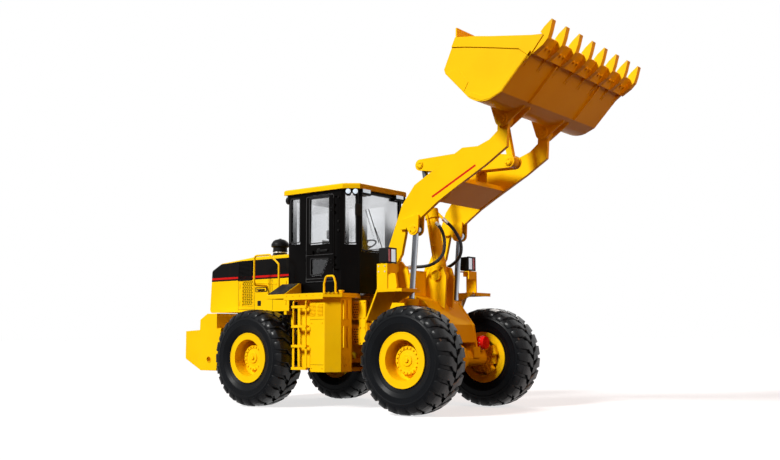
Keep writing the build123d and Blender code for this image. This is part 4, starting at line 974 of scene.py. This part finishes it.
# painted highlight: a lighter grey for the lines drawn round the doors' edges
edge_highlight_grey = metal("painted_edge_highlight", colour(0.045, 0.045, 0.046), 0.3, 0.2)
lock = (-0.548, 2.524)
for hand, side in sides:
    name, wall, out = f"door_{hand}", side * cab_wall, (0, side, 0)
    panes, lines, lever = Maker(), Maker(), Maker()
    edge_strip(panes, [at(x, wall, z) for x, z in ((-0.765, 2.645), (-0.765, 3.415), (-0.315, 3.415),
                                                   (-0.315, 2.645))], out, 0.018, 0.005, 0.035)
    edge_strip(panes, [at(x, wall, z) for x, z in ((-0.740, 2.125), (-0.740, 2.415), (-0.325, 2.398),
                                                   (-0.482, 2.125))], out, 0.018, 0.005, 0.035)
    # painted highlight: a thin grey line drawn round the door's folded edges, where light would catch them
    low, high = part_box(name)
    x0, x1 = low.x + 0.012, high.x - 0.012
    for z0, z1 in ((low.z + 0.012, high.z - 0.012), (low.z + 0.060, 2.462)):
        corners = [Vector((x, wall, z)) for x, z in ((x0, z0), (x0, z1), (x1, z1), (x1, z0))]
        edge_strip(lines, corners, out, 0.006, 0.0025, 0.02)
    lever.spun(((0.0, 0.0), (0.042, 0.0), (0.042, 0.010), (0.036, 0.016), (0.020, 0.018), (0.018, 0.030),
                (0.0, 0.032)), at(lock[0], wall, lock[1]), out, 32)
    lever.box(at(-0.500, wall, 2.505), at(-0.350, wall + side * 0.026, 2.540), 0.006)
    lines.done(f"{name}_edges", name, edge_highlight_grey, "cab_black", 40)
    panes.done(f"{name}_seals", name, seal_rubber, "cab_black", 40)
    lever.done(f"{name}_handle", name, plastic, "cab_black")
    screws = [(at(lock[0] + 0.03 * cos(a), wall + side * 0.016, lock[1] + 0.03 * sin(a)), out)
              for a in (0.5, 2.6, 4.7)]
    screws += [(at(x, wall + side * 0.012, z + up), out)
               for z in (2.340, 3.190) for x in (-0.283, -0.268) for up in (-0.025, 0.025)]
    studs(f"{name}_screws", name, screws, plastic, 0.012, 0.006)

# knobs on the pillar, lamps under the roof and the drip rail
fittings, glass_bits = Maker(), Maker()
for side in (1, -1):
    wall = side * cab_wall
    for z in (3.37, 2.98, 2.83):
        fittings.spun(((0.0, 0.0), (0.020, 0.0), (0.020, 0.016), (0.012, 0.024), (0.0, 0.024)),
                      at(-0.120, wall, z), (0, side, 0), 20)
    # two round lamps under the roof's front corner
    way = Vector((0.6, side * 0.8, -0.05))
    for x, y in ((0.065, 0.735), (0.150, 0.655)):
        place = at(x, side * y, 3.452)
        fittings.spun(((0.0, -0.070), (0.030, -0.066), (0.045, -0.040), (0.048, 0.0), (0.048, 0.010),
                       (0.042, 0.012), (0.0, 0.006)), place, way, 28)
        glass_bits.spun(((0.0, 0.004), (0.042, 0.006), (0.040, 0.014), (0.022, 0.019), (0.0, 0.020)), place, way, 28)
        fittings.box(place + Vector((-0.008, -0.008, 0.030)), place + Vector((0.008, 0.008, 0.060)), 0.002)
    # the lamp at the rear corner, and the drip rail
    glass_bits.spun(((0.0, 0.028), (0.056, 0.028), (0.053, 0.036), (0.03, 0.042), (0.0, 0.043)),
                    at(-1.270, side * 0.700, 3.440), (-1, 0, 0), 32)
    fittings.box(at(-1.225, wall, 3.497), at(-0.075, wall + side * 0.014, 3.509), 0.002)
for y in (-0.445, 0.445):
    glass_bits.box(at(0.211, y - 0.095, 3.444), at(0.219, y + 0.095, 3.510), 0.006)
    for y0, y1, z1 in ((-0.119, -0.097, 3.522), (0.097, 0.119, 3.522), (-0.100, 0.100, 3.443)):
        fittings.box(at(0.196, y + y0, 3.421), at(0.214, y + y1, z1), 0.003)
fittings.done("cab_fittings", "rear_frame", plastic, "cab_black")
glass_bits.done("cab_lamp_glasses", "rear_frame", lamp_glass_painted_glow, "lamp_black")


def polyline(points, bend=0.06):
    """A path with its corners rounded, for bent bar and pipe."""
    path = [points[0]]
    for before, corner, after in zip(points, points[1:], points[2:]):
        back, onward = before - corner, after - corner
        reach = min(bend, back.length * 0.45, onward.length * 0.45)
        path += eased(corner + back.normalized() * reach, corner, corner + onward.normalized() * reach)
    return path + [points[-1]]


# wiper: a pressed arm from a spindle below the windscreen, and its blade
wiper = Maker()
wiper.spun(((0.0, 0.0), (0.022, 0.0), (0.020, 0.022), (0.010, 0.028), (0.0, 0.028)), at(0.166, 0.05, 2.470),
           (1, 0, 0), 20)
wiper.tube([at(0.185, 0.05, 2.470), at(0.192, -0.06, 2.66), at(0.186, -0.20, 2.90)], 0.006, 8)
wiper.box(at(0.170, -0.006, -0.30), at(0.180, 0.006, 0.30), 0.002,
          Matrix.Translation((0, -0.215, 2.925)) @ Matrix.Rotation(radians(27), 4, "X"))
wiper.done("wiper", "rear_frame", plastic, "cab_black")

# mirrors on bent arms at the front corners of the roof
mirror, mirror_glass = Maker(), Maker()
for side in (1, -1):
    arm_run = [at(x, side * y, z) for x, y, z in ((0.145, 0.600, 3.40), (0.235, 0.690, 3.42), (0.250, 0.705, 3.28),
                                                  (0.250, 0.705, 3.22))]
    mirror.tube(polyline(arm_run, 0.05), 0.008, 8)
    turn = Matrix.Translation(at(0.250, side * 0.705, 3.14)) @ Matrix.Rotation(side * radians(18), 4, "Z")
    mirror.box((-0.014, -0.060, -0.095), (0.016, 0.060, 0.095), 0.012, turn)
    mirror_glass.box((-0.017, -0.052, -0.087), (-0.013, 0.052, 0.087), 0.002, turn)
mirror.done("mirrors", "rear_frame", plastic, "cab_black")
silver = metal("mirror_silver", colour(0.8, 0.8, 0.8), 0.03)
mirror_glass.done("mirror_glasses", "rear_frame", silver, "cab_glass")
headliner = Maker()
headliner.box(at(-1.165, -0.690, 3.455), at(-0.110, 0.690, 3.502), 0.01)
headliner.box(at(-0.120, -0.520, 3.455), at(0.100, 0.520, 3.502), 0.01)
headliner.done("cab_headliner", "rear_frame", seal_rubber, "cab_black")

# seat: cushion, back and headrest, each its own cloth pad on a steel pan
cloth = Shader("seat_cloth")
weave = cloth.node("ShaderNodeTexWave", {"bands_direction": "DIAGONAL"}, {
    "Vector": cloth.place, "Scale": 160.0, "Distortion": 1.5})
seat_cloth = cloth.finish({
    "Base Color": cloth.mix(weave * 0.6 + cloth.noise(18.0) * 0.4, colour(0.035, 0.036, 0.040),
                            colour(0.085, 0.087, 0.094)),
    "Roughness": 0.82 + weave * 0.1, "Normal": cloth.bump(weave, 0.0008, 0.6)})
seat_foot = Vector((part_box("seat")[0].x, 0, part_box("seat")[0].z))


def seat_at(x, y, z):
    """A place given by its distances from the seat's rear foot."""
    return seat_foot + Vector((x, y, z))


def puff(work):
    """Blows a pad up with cloth under pressure, no point moving more than 10 mm."""
    rest = [vert.co.copy() for vert in work.data.vertices]
    sim = work.modifiers.new("cloth", "CLOTH")
    sim.settings.use_pressure = True
    sim.settings.uniform_pressure_force = 4.0
    sim.settings.effector_weights.gravity = 0.0
    sim.settings.mass = 0.3
    for step in range(1, 21):
        scene.frame_set(step)
    puffed = settled(work)
    work.modifiers.remove(sim)
    for vert, start in zip(puffed.vertices, rest):
        move = vert.co - start
        vert.co = start + move * min(1.0, 0.010 / max(move.length, 1e-6))
    scene.frame_set(1)
    return puffed


pads = []
for name, low, high, fill in (
    ("seat_cushion", (0.070, -0.245, 0.362), (0.515, 0.245, 0.452), 0.6),
    ("seat_back", (0.012, -0.235, 0.480), (0.098, 0.235, 0.900), 0.6),
    ("seat_headrest", (0.025, -0.150, 0.925), (0.095, 0.150, 1.085), 0.7),
):
    low, high = seat_at(*low), seat_at(*high)
    pad = Maker()
    pad.box(low, high, 0.028)
    work = bpy.data.objects.new(name + "_work", pad.plain(name))
    scene.collection.objects.link(work)
    remesh = work.modifiers.new("remesh", "REMESH")
    remesh.mode, remesh.voxel_size = "VOXEL", 0.008
    shell = settled(work)
    work.modifiers.remove(remesh)
    work.data = shell
    shell = puff(work)
    bpy.data.objects.remove(work)
    # sewn channels sink the face along straight lines
    centre = (low + high) / 2
    face = 2 if name == "seat_cushion" else 0
    for vert in shell.vertices:
        groove = max(0.0, 1 - abs(abs(vert.co.y - centre.y) - 0.135) / 0.012)
        if vert.co[face] > centre[face]:
            vert.co[face] -= 0.007 * groove
    piece = place_piece(name, shell, "rear_frame", seat_cloth, 60)
    pads.append(piece)
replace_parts(pads[0], "seat")
pan = Maker()
for low, high, round in (((0.050, -0.250, 0.330), (0.500, 0.250, 0.360), 0.008),
                         ((0.000, -0.215, 0.440), (0.014, 0.215, 0.905), 0.005),
                         ((0.090, -0.200, 0.000), (0.440, 0.200, 0.060), 0.008),
                         ((0.060, -0.275, 0.560), (0.340, -0.245, 0.590), 0.010),
                         ((0.060, 0.245, 0.560), (0.340, 0.275, 0.590), 0.010)):
    pan.box(seat_at(*low), seat_at(*high), round)
for k in range(5):
    z, tuck = 0.065 + k * 0.054, 0.006 * (k % 2)
    pan.box(seat_at(0.100 + tuck, -0.185, z), seat_at(0.430 - tuck, 0.185, z + 0.046), 0.012)
for y in (-0.08, 0.08):
    pan.tube([seat_at(0.055, y, 0.88), seat_at(0.060, y, 0.95)], 0.007, 8)
pan.done("seat_frame", "rear_frame", plastic, "cab_black")

# steering wheel, column and console
rim_centre = at(-0.186, 0, 2.645)
lean = Vector((-0.180, 0, 0.420)).normalized()
turn = Vector((0, 0, 1)).rotation_difference(lean)
wheel, rings = Maker(), []
for a in (2 * pi * k / 40 for k in range(40)):
    point = rim_centre + turn @ Vector((0.193 * cos(a), 0.193 * sin(a), 0))
    outward = (point - rim_centre).normalized()
    rings.append([point + 0.013 * (outward * cos(2 * pi * j / 10) + lean * sin(2 * pi * j / 10)) for j in range(10)])
wheel.skin(rings, closed=False)
for a in (0.5 * pi, 1.17 * pi, 1.83 * pi):
    outer = rim_centre + turn @ Vector((0.190 * cos(a), 0.190 * sin(a), 0))
    wheel.tube([rim_centre - lean * 0.020, (rim_centre * 0.6 + outer * 0.4) - lean * 0.015, outer], 0.010, 8)
wheel.spun(((0.0, -0.045), (0.048, -0.040), (0.048, -0.008), (0.036, 0.004), (0.0, 0.006)), rim_centre, lean, 28)
wheel.tube([at(0, 0, 2.20), rim_centre - lean * 0.03], 0.032, 16)
wheel.box(at(-0.055, -0.125, 1.862), at(0.060, 0.125, 2.232), 0.020)
wheel.box(at(-0.105, -0.110, 2.236), at(0.055, 0.110, 2.36), 0.020)
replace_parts(wheel.done("steering_wheel_and_column", "rear_frame", plastic, "cab_black"), "steering_column")
console = Maker()
console.box(at(-0.860, -0.420, 1.865), at(-0.420, -0.300, 2.420), 0.020)
for x in (-0.50, -0.56):
    console.tube([at(x, -0.360, 2.40), at(x + 0.015, -0.360, 2.53)], 0.006, 8)
    console.spun(((0.0, 0.0), (0.016, 0.006), (0.021, 0.024), (0.016, 0.042), (0.0, 0.048)),
                 at(x + 0.015, -0.360, 2.525), (0.1, 0, 1), 20)
console.done("lever_console", "rear_frame", plastic, "cab_black")
dress(black, "cab_frame", "door_left", "door_right")
dress(glass, "cab_glass", "door_glass_left", "door_glass_right")
dress(plastic, "work_lamps", "steering_column")


# ==================== lift arms ====================
# Thick plate arms joined by a box beam, welded and painted, with a long orange-red line
# along each outer face. Bolted caps keep the pins; bosses are machined after welding.
def arm_paint(s, x, y, z, tone):
    along = (x - steer_x - 1.636) * 0.8908 + (z - 3.222) * 0.4545
    across = (z - 3.222) * 0.8908 - (x - steer_x - 1.636) * 0.4545
    line = (along > 0.0) * (along < 0.880) * (abs(across) < 0.016) * (abs(y) > 0.628)
    return s.mix(line, tone, colour(0.60, 0.022, 0.006))


arm_yellow = enamel("arm_enamel", bright_yellow, deep_yellow, 0.32, 0.1, 0.008, arm_paint)
arm_middle = 0.600
lift_eye, bucket_pin = (1.310, 2.755), (2.910, 4.230)
cap_profile = ((0.0, 0.0), (0.066, 0.0), (0.066, 0.007), (0.062, 0.011), (0.030, 0.011), (0.026, 0.008),
               (0.0, 0.008))


def pin_cap(maker, bolts, face, way, start):
    """A flat cap over a pin's end, which looks to way (1 or -1) along Y, and its two bolts."""
    maker.spun(cap_profile, face, (0, way, 0), 36)
    bolts += [(face + Vector((0.043 * cos(a), way * 0.010, 0.043 * sin(a))), (0, way, 0))
              for a in (start, start + pi)]


boss_ring = ((0.052, 0.0), (0.088, 0.0), (0.088, 0.005), (0.083, 0.009), (0.052, 0.009))
caps, cap_bolts, pin_caps, pin_bolts, seams = Maker(), [], Maker(), [], []
for side in (1, -1):
    for way in (1, -1):
        # on both cheeks: over the lift cylinder's pin, and over the bucket's pin
        pin_cap(caps, cap_bolts, at(lift_eye[0], side * (arm_middle + way * 0.0822), lift_eye[1]), side * way, 0.6)
        pin_cap(pin_caps, pin_bolts, at(bucket_pin[0], side * (arm_middle + way * 0.1202), bucket_pin[1]),
                side * way, 0.2)
    # raised bosses round the bucket pin and the arm's own pivot
    for (x, z), y in ((bucket_pin, 0.6555), (arm_pivot, 0.652)):
        caps.spun(boss_ring, at(x, side * y, z), (0, side, 0), 36)
    # each seam: how far out it is, then its (x, z) places
    for y, *places in (
        (0.567, (1.730, 3.143), (2.180, 3.400), (2.112, 3.492), (1.880, 3.432), (1.690, 3.252), (1.730, 3.143)),
        (0.633, (1.075, 2.762), (1.097, 2.918), (1.190, 2.920)),
        (0.633, (1.190, 2.922), (1.250, 2.955), (1.395, 2.965)),
        (0.124, (1.775, 3.402), (1.90, 3.445), (2.08, 3.500)),
        (0.170, (1.775, 3.402), (1.90, 3.445), (2.08, 3.500)),
    ):
        seams.append([at(x, side * y, z) for x, z in places])
    # pipe clips along the top of the cross box
    cap_bolts += [(at(x, side * 0.40, z), (-0.25, 0, 0.97)) for x, z in ((1.95, 3.462), (2.04, 3.482))]
caps.done("arm_pin_caps", "arm", yellow)
studs("arm_cap_bolts", "arm", cap_bolts, yellow, 0.022, 0.013)
pin_caps.done("bucket_pin_caps", "bucket_pins", yellow)
studs("bucket_pin_bolts", "bucket_pins", pin_bolts, yellow, 0.024, 0.013)
welds("arm_welds", "arm", seams, 0.016)
dress(arm_yellow, "arm")
dress(steel, "bucket_pins")


# ==================== rocker and link ====================
# A two-plate bell crank and a forged link, both in enamel. Each pin is kept by a flat cap
# and two screws.
rocker_top, rocker_pivot, rocker_low = (1.040, 3.856), (2.010, 3.795), (2.669, 3.729)
pivot_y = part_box("rocker_pin")[1].y
rocker_caps, rocker_bolts, keeper, keep_bolts = Maker(), [], Maker(), []
for side in (1, -1):
    out = (0, side, 0)
    for (x, z), radius in ((rocker_top, 0.052), (rocker_low, 0.056)):
        face = at(x, side * 0.1272, z)
        rocker_caps.spun(((0.0, 0.0), (radius, 0.0), (radius, 0.006), (radius - 0.005, 0.010), (0.020, 0.010),
                          (0.016, 0.006), (0.0, 0.006)), face, out, 32)
        rocker_bolts += circle(face, out, 0.036, 2, 0.9, 0.009)
    pin_cap(keeper, keep_bolts, at(rocker_pivot[0], side * pivot_y, rocker_pivot[1]), side, 1.2)
rocker_caps.done("rocker_pin_caps", "rocker", yellow)
studs("rocker_cap_bolts", "rocker", rocker_bolts, yellow, 0.018, 0.011)
keeper.done("rocker_pivot_caps", "rocker_pin", yellow)
studs("rocker_pivot_bolts", "rocker_pin", keep_bolts, zinc, 0.020, 0.012)
dress(steel, "rocker_pin", "link_pin")


# ==================== hydraulic cylinders ====================
# Painted tube with a screwed gland and a wiper ring round a chromed rod. A steel pipe feeds
# the gland end of the tilt cylinder.
chrome = Shader("chrome_with_painted_reflection")
brushed = chrome.noise(60.0, 2.0, (1, 1, 0.02))
# painted reflection: the lift rods are light down the middle and dark along their flanks, and the tilt rod, away from
# the arms' line, is dark all along
painted_reflection_flank = chrome.rise(abs(abs(chrome.axes()[1]) - arm_middle), 0.014, 0.036)
painted_reflection_bands = chrome.mix(painted_reflection_flank, colour(0.52, 0.55, 0.60), colour(0.11, 0.115, 0.13))
chrome = chrome.finish({
    "Base Color": chrome.mix(brushed * 0.4, painted_reflection_bands, colour(0.20, 0.21, 0.23)),
    "Metallic": 1.0, "Roughness": 0.14 + brushed * 0.12,
    "Normal": chrome.bump(brushed, 0.0003, 0.2)})


def leaning(start, end):
    """The direction of a cylinder from its base pin to its eye, each given by (x, z)."""
    return Vector((end[0] - start[0], 0, end[1] - start[1])).normalized()


lift_base, tilt_base = (1.120, 0.540), (1.360, 2.070)
lift_lean, tilt_lean = leaning(lift_base, lift_eye), leaning(tilt_base, rocker_top)
lift_run = (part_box("lift_barrels")[1].z - lift_base[1] - 0.100 * lift_lean.x) / lift_lean.z
glands, wipers = Maker(), Maker()
for side in (1, -1):
    end = at(lift_base[0], side * arm_middle, lift_base[1]) + lift_lean * lift_run
    glands.spun(((0.047, -0.095), (0.107, -0.095), (0.109, -0.090), (0.109, -0.008), (0.105, -0.002),
                 (0.060, -0.001), (0.047, -0.001)), end, lift_lean, 40)
    wipers.spun(((0.0458, -0.004), (0.058, -0.004), (0.057, 0.006), (0.050, 0.010), (0.0458, 0.010)), end,
                lift_lean, 32)
glands.done("lift_glands", "lift_barrels", yellow)
wipers.done("lift_wipers", "lift_barrels", seal_rubber, "black_steel")

tilt_top = at(tilt_base[0], 0, tilt_base[1]) + tilt_lean * 1.080
gland, wiper_ring = Maker(), Maker()
wiper_ring.spun(((0.0488, -0.002), (0.062, -0.002), (0.061, 0.008), (0.053, 0.012), (0.0488, 0.012)), tilt_top,
                tilt_lean, 32)
wiper_ring.done("tilt_wiper", "tilt_barrel", seal_rubber, "black_steel")
for profile in (((0.106, -0.150), (0.1165, -0.150), (0.1165, -0.142), (0.106, -0.142)),
                ((0.090, -0.93), (0.1035, -0.93), (0.1045, -0.925), (0.1045, -0.885), (0.1035, -0.880),
                 (0.090, -0.880))):
    gland.spun(profile, tilt_top, tilt_lean, 44)
pipe = [tilt_top - tilt_lean * back + Vector((0, -out, 0))
        for back, out in ((0.09, 0.100), (0.09, 0.128), (0.20, 0.128), (0.72, 0.128), (0.80, 0.104))]
gland.tube(polyline(pipe, 0.03), 0.010, 10)
for back in (0.28, 0.60):
    place = tilt_top - tilt_lean * back
    gland.box(place + Vector((-0.020, -0.142, -0.012)), place + Vector((0.020, -0.094, 0.012)), 0.003)
gland.done("tilt_gland_and_pipe", "tilt_barrel", yellow)
level = Vector((0, 1, 0))
gland_bolts = [(tilt_top + 0.086 * (cos(a) * level + sin(a) * tilt_lean.cross(level)), tilt_lean)
               for a in (2 * pi * i / 10 for i in range(10))]
studs("tilt_gland_bolts", "tilt_barrel", gland_bolts, zinc, 0.020, 0.014)
dress(chrome, "lift_rods", "tilt_rod")


# ==================== tilt hoses ====================
# Two wire-braid rubber hoses, held in crimped zinc-plated ends: one pair screwed to the tilt
# cylinder, the other to the tower. They bow between.
hose_look = Shader("hose_rubber")
ply = hose_look.node("ShaderNodeTexWave", {"bands_direction": "DIAGONAL"}, {
    "Vector": hose_look.place, "Scale": 70.0, "Distortion": 0.6})
hose_rubber = hose_look.finish({
    "Base Color": hose_look.mix(ply * 0.6 + hose_look.noise(14.0) * 0.4, colour(0.004, 0.004, 0.004),
                                colour(0.011, 0.011, 0.012)),
    "Roughness": 0.34 + ply * 0.12, "Specular IOR Level": 0.25,
    "Normal": hose_look.bump(ply, 0.0010, 0.5)})


def smooth_run(points, steps=64):
    """A Catmull-Rom curve through the points."""
    points = [points[0] * 2 - points[1]] + points + [points[-1] * 2 - points[-2]]
    made, spans = [], len(points) - 3
    for k in range(steps + 1):
        t = min(k / steps * spans, spans - 1e-6)
        i, t = int(t), t - int(t)
        a, b, c, d = points[i:i + 4]
        made.append(0.5 * (2 * b + (c - a) * t + (2 * a - 5 * b + 4 * c - d) * t * t
                           + (3 * b - a - 3 * c + d) * t ** 3))
    return made


hoses, upper_ends, lower_ends = Maker(), Maker(), Maker()
for route in (((1.330, -0.075, 2.900), (1.470, -0.130, 2.760), (1.545, -0.175, 2.560), (1.510, -0.205, 2.360),
               (1.330, -0.270, 2.225), (1.020, -0.400, 2.195)),
              ((1.370, 0.050, 2.975), (1.545, 0.078, 2.800), (1.655, 0.110, 2.580), (1.600, 0.165, 2.380),
               (1.390, 0.230, 2.245), (1.020, 0.400, 2.195))):
    run = smooth_run([at(*corner) for corner in route])
    hoses.tube(run, 0.0255, 16)
    for maker, points in ((upper_ends, run[:7]), (lower_ends, run[:-6:-1])):
        maker.tube(points, 0.0290, 16)
        maker.tube(points[:3], 0.034, 6)
        first = (points[1] - points[0]).normalized()
        maker.spun(((0.0, 0.0), (0.0320, 0.0), (0.0320, 0.010), (0.0, 0.010)), points[-1] - first * 0.012,
                   points[-1] - points[-2], 14)
mesh = hoses.plain("tilt_hose_pair")
mesh.shade_smooth()
mesh.materials.append(hose_rubber)
pair = bpy.data.objects.new("tilt_hose_pair", mesh)
scene.collection.objects.link(pair)
at(1.330, 0, 2.230)
at(1.400, 0, 2.860)
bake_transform(pair)
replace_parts(pair, "tilt_hoses")
upper_ends.done("tilt_hose_upper_ends", "tilt_barrel", zinc, "pin_steel")
lower_ends.done("tilt_hose_lower_ends", "front_frame", zinc, "pin_steel")


# ==================== bucket ====================
# Rolled and welded plate with a bolted cutting edge and cast teeth. The paint is worn to
# bright steel along the edge and at the tips.
tip_sin, tip_cos = sin(radians(46)), cos(radians(46))
bucket_half, tooth_pitch = 1.450, (2.900 - 0.120) / 7


def scoop(forward, up, y):
    """A place in the bucket: forward along its floor and up from its pin."""
    return at(bucket_pin[0] + forward * tip_cos - up * tip_sin, y,
              bucket_pin[1] + forward * tip_sin + up * tip_cos)


def worn_edge(first, last, amount):
    """Paint scraped away between two distances forward along the bucket's floor."""
    def paint(s, x, y, z, tone):
        forward = (x - steer_x - bucket_pin[0]) * tip_cos + (z - bucket_pin[1]) * tip_sin
        reach = s.rise(forward + s.noise(16.0, 6.0) * 0.12 - 0.06, first, last)
        return s.mix(reach * s.rise(s.noise(60.0, 5.0), 0.35, 0.6) * amount, tone, colour(0.30, 0.22, 0.12))
    return paint


bucket_yellow = enamel("bucket_enamel", bright_yellow, deep_yellow, 0.36, 0.1, 0.006, worn_edge(1.30, 1.42, 0.55))
tooth_paint = enamel("tooth_enamel", bright_yellow, deep_yellow, 0.38, 0.1, 0.006, worn_edge(1.50, 1.62, 0.7))
floor_up = Vector((-tip_sin, 0, tip_cos))
bolts, seams, plates = [], [], Maker()
for number in range(8):
    y = (number - 3.5) * tooth_pitch
    bolts += [(scoop(forward, -0.176, y + out), floor_up) for forward in (1.155, 1.255) for out in (-0.024, 0.024)]
    seams += [[scoop(forward, -0.2005, y + out) for forward in (0.882, 1.075)] for out in (-0.031, 0.031)]
for number in range(7):
    for y in ((number - 3.0) * tooth_pitch + out for out in (-0.10, 0.0, 0.10)):
        bolts += [(scoop(1.215, -0.2305, y), -floor_up), (scoop(1.215, -0.178, y), floor_up)]
seams.append([scoop(1.098, -0.201, y) for y in (-1.40, 1.40)])
cheek_seam = ((1.028, -0.19), (1.018, -0.03), (0.758, 0.40), (0.558, 0.72), (0.44, 0.895))
# wear plates on the cheek: along the heel, and at the back
heel_plate = ((1.300, -0.190), (0.430, -0.190), (0.268, -0.118), (0.160, -0.022), (0.082, 0.187), (0.150, 0.187),
              (0.215, 0.020), (0.305, -0.062), (0.445, -0.130), (1.262, -0.130))
back_plate = ((0.085, 0.300), (0.104, 0.725), (0.270, 0.610), (0.230, 0.330))
for side in (1, -1):
    for rib in (0.665, 0.699):
        seams.append([scoop(forward, -0.2005, side * rib) for forward in (0.45, 1.06)])
    for inner in (0.562, 0.638):
        seams.append([scoop(0.095, 0.26, side * inner), scoop(0.078, 0.10, side * inner)])
    seams.append([scoop(forward, up, side * (bucket_half - 0.014)) for forward, up in cheek_seam])
    for outline in (heel_plate, back_plate):
        plates.slab([scoop(forward, up, 0) for forward, up in outline], (0, side * 1.433, 0), (0, side * 0.006, 0))
    # bosses round the pins on the outer ears
    for ear in (1, -1):
        plates.spun(((0.0510, 0.0), (0.100, 0.0), (0.100, 0.006), (0.094, 0.011), (0.0510, 0.011)),
                    at(bucket_pin[0], side * (arm_middle + ear * 0.1000), bucket_pin[1]), (0, side * ear, 0), 40)
studs("bucket_bolts", "bucket", bolts, yellow, 0.034, 0.018)
plates.done("bucket_wear_plates", "bucket", bucket_yellow)
welds("bucket_welds", "bucket", seams, 0.015)
dress(bucket_yellow, "bucket")
dress(tooth_paint, "bucket_teeth")


# ==================== guards beside the steering joint ====================
# Enamelled perforated plates, welded in line with the front frame's guard strips and
# bolted to them; their holes are black discs of painted shade.
guards, holes, bolts = Maker(), [], []
for side in (1, -1):
    out = (0, side, 0)
    for z0, z1 in ((1.400, 1.690), (1.010, 1.290)):
        guards.box(at(0.060, side * 0.589, z0), at(0.192, side * 0.611, z1), 0.003)
        for row in range(6):
            stagger = 0.012 if row % 2 else 0.0
            holes += [(at(0.082 + column * 0.034 + stagger, side * 0.611, z0 + 0.034 + row * 0.040), out)
                      for column in range(3)]
        bolts += [(at(x, side * 0.612, z), out) for z in (z0 + 0.020, z1 - 0.020) for x in (0.215, 0.290)]
guards.done("steering_guards", "front_frame", yellow_low)
# the holes: black discs of painted shade
studs("guard_holes", "front_frame", holes, hole_shade_and_seam_black, 0.020, 0.0015, 10, 0.9)
studs("guard_bolts", "front_frame", bolts, yellow_low, 0.020, 0.012)


# ==================== the other carried-over pieces ====================
# Fenders, decks, towers, rocker, link and barrels are welded steel in the machine's plain
# enamel. The tyres have their own rubber.
for name in nodes:
    if name not in dressed and not name.startswith("tyre"):
        dress(yellow, name)

low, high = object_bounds()
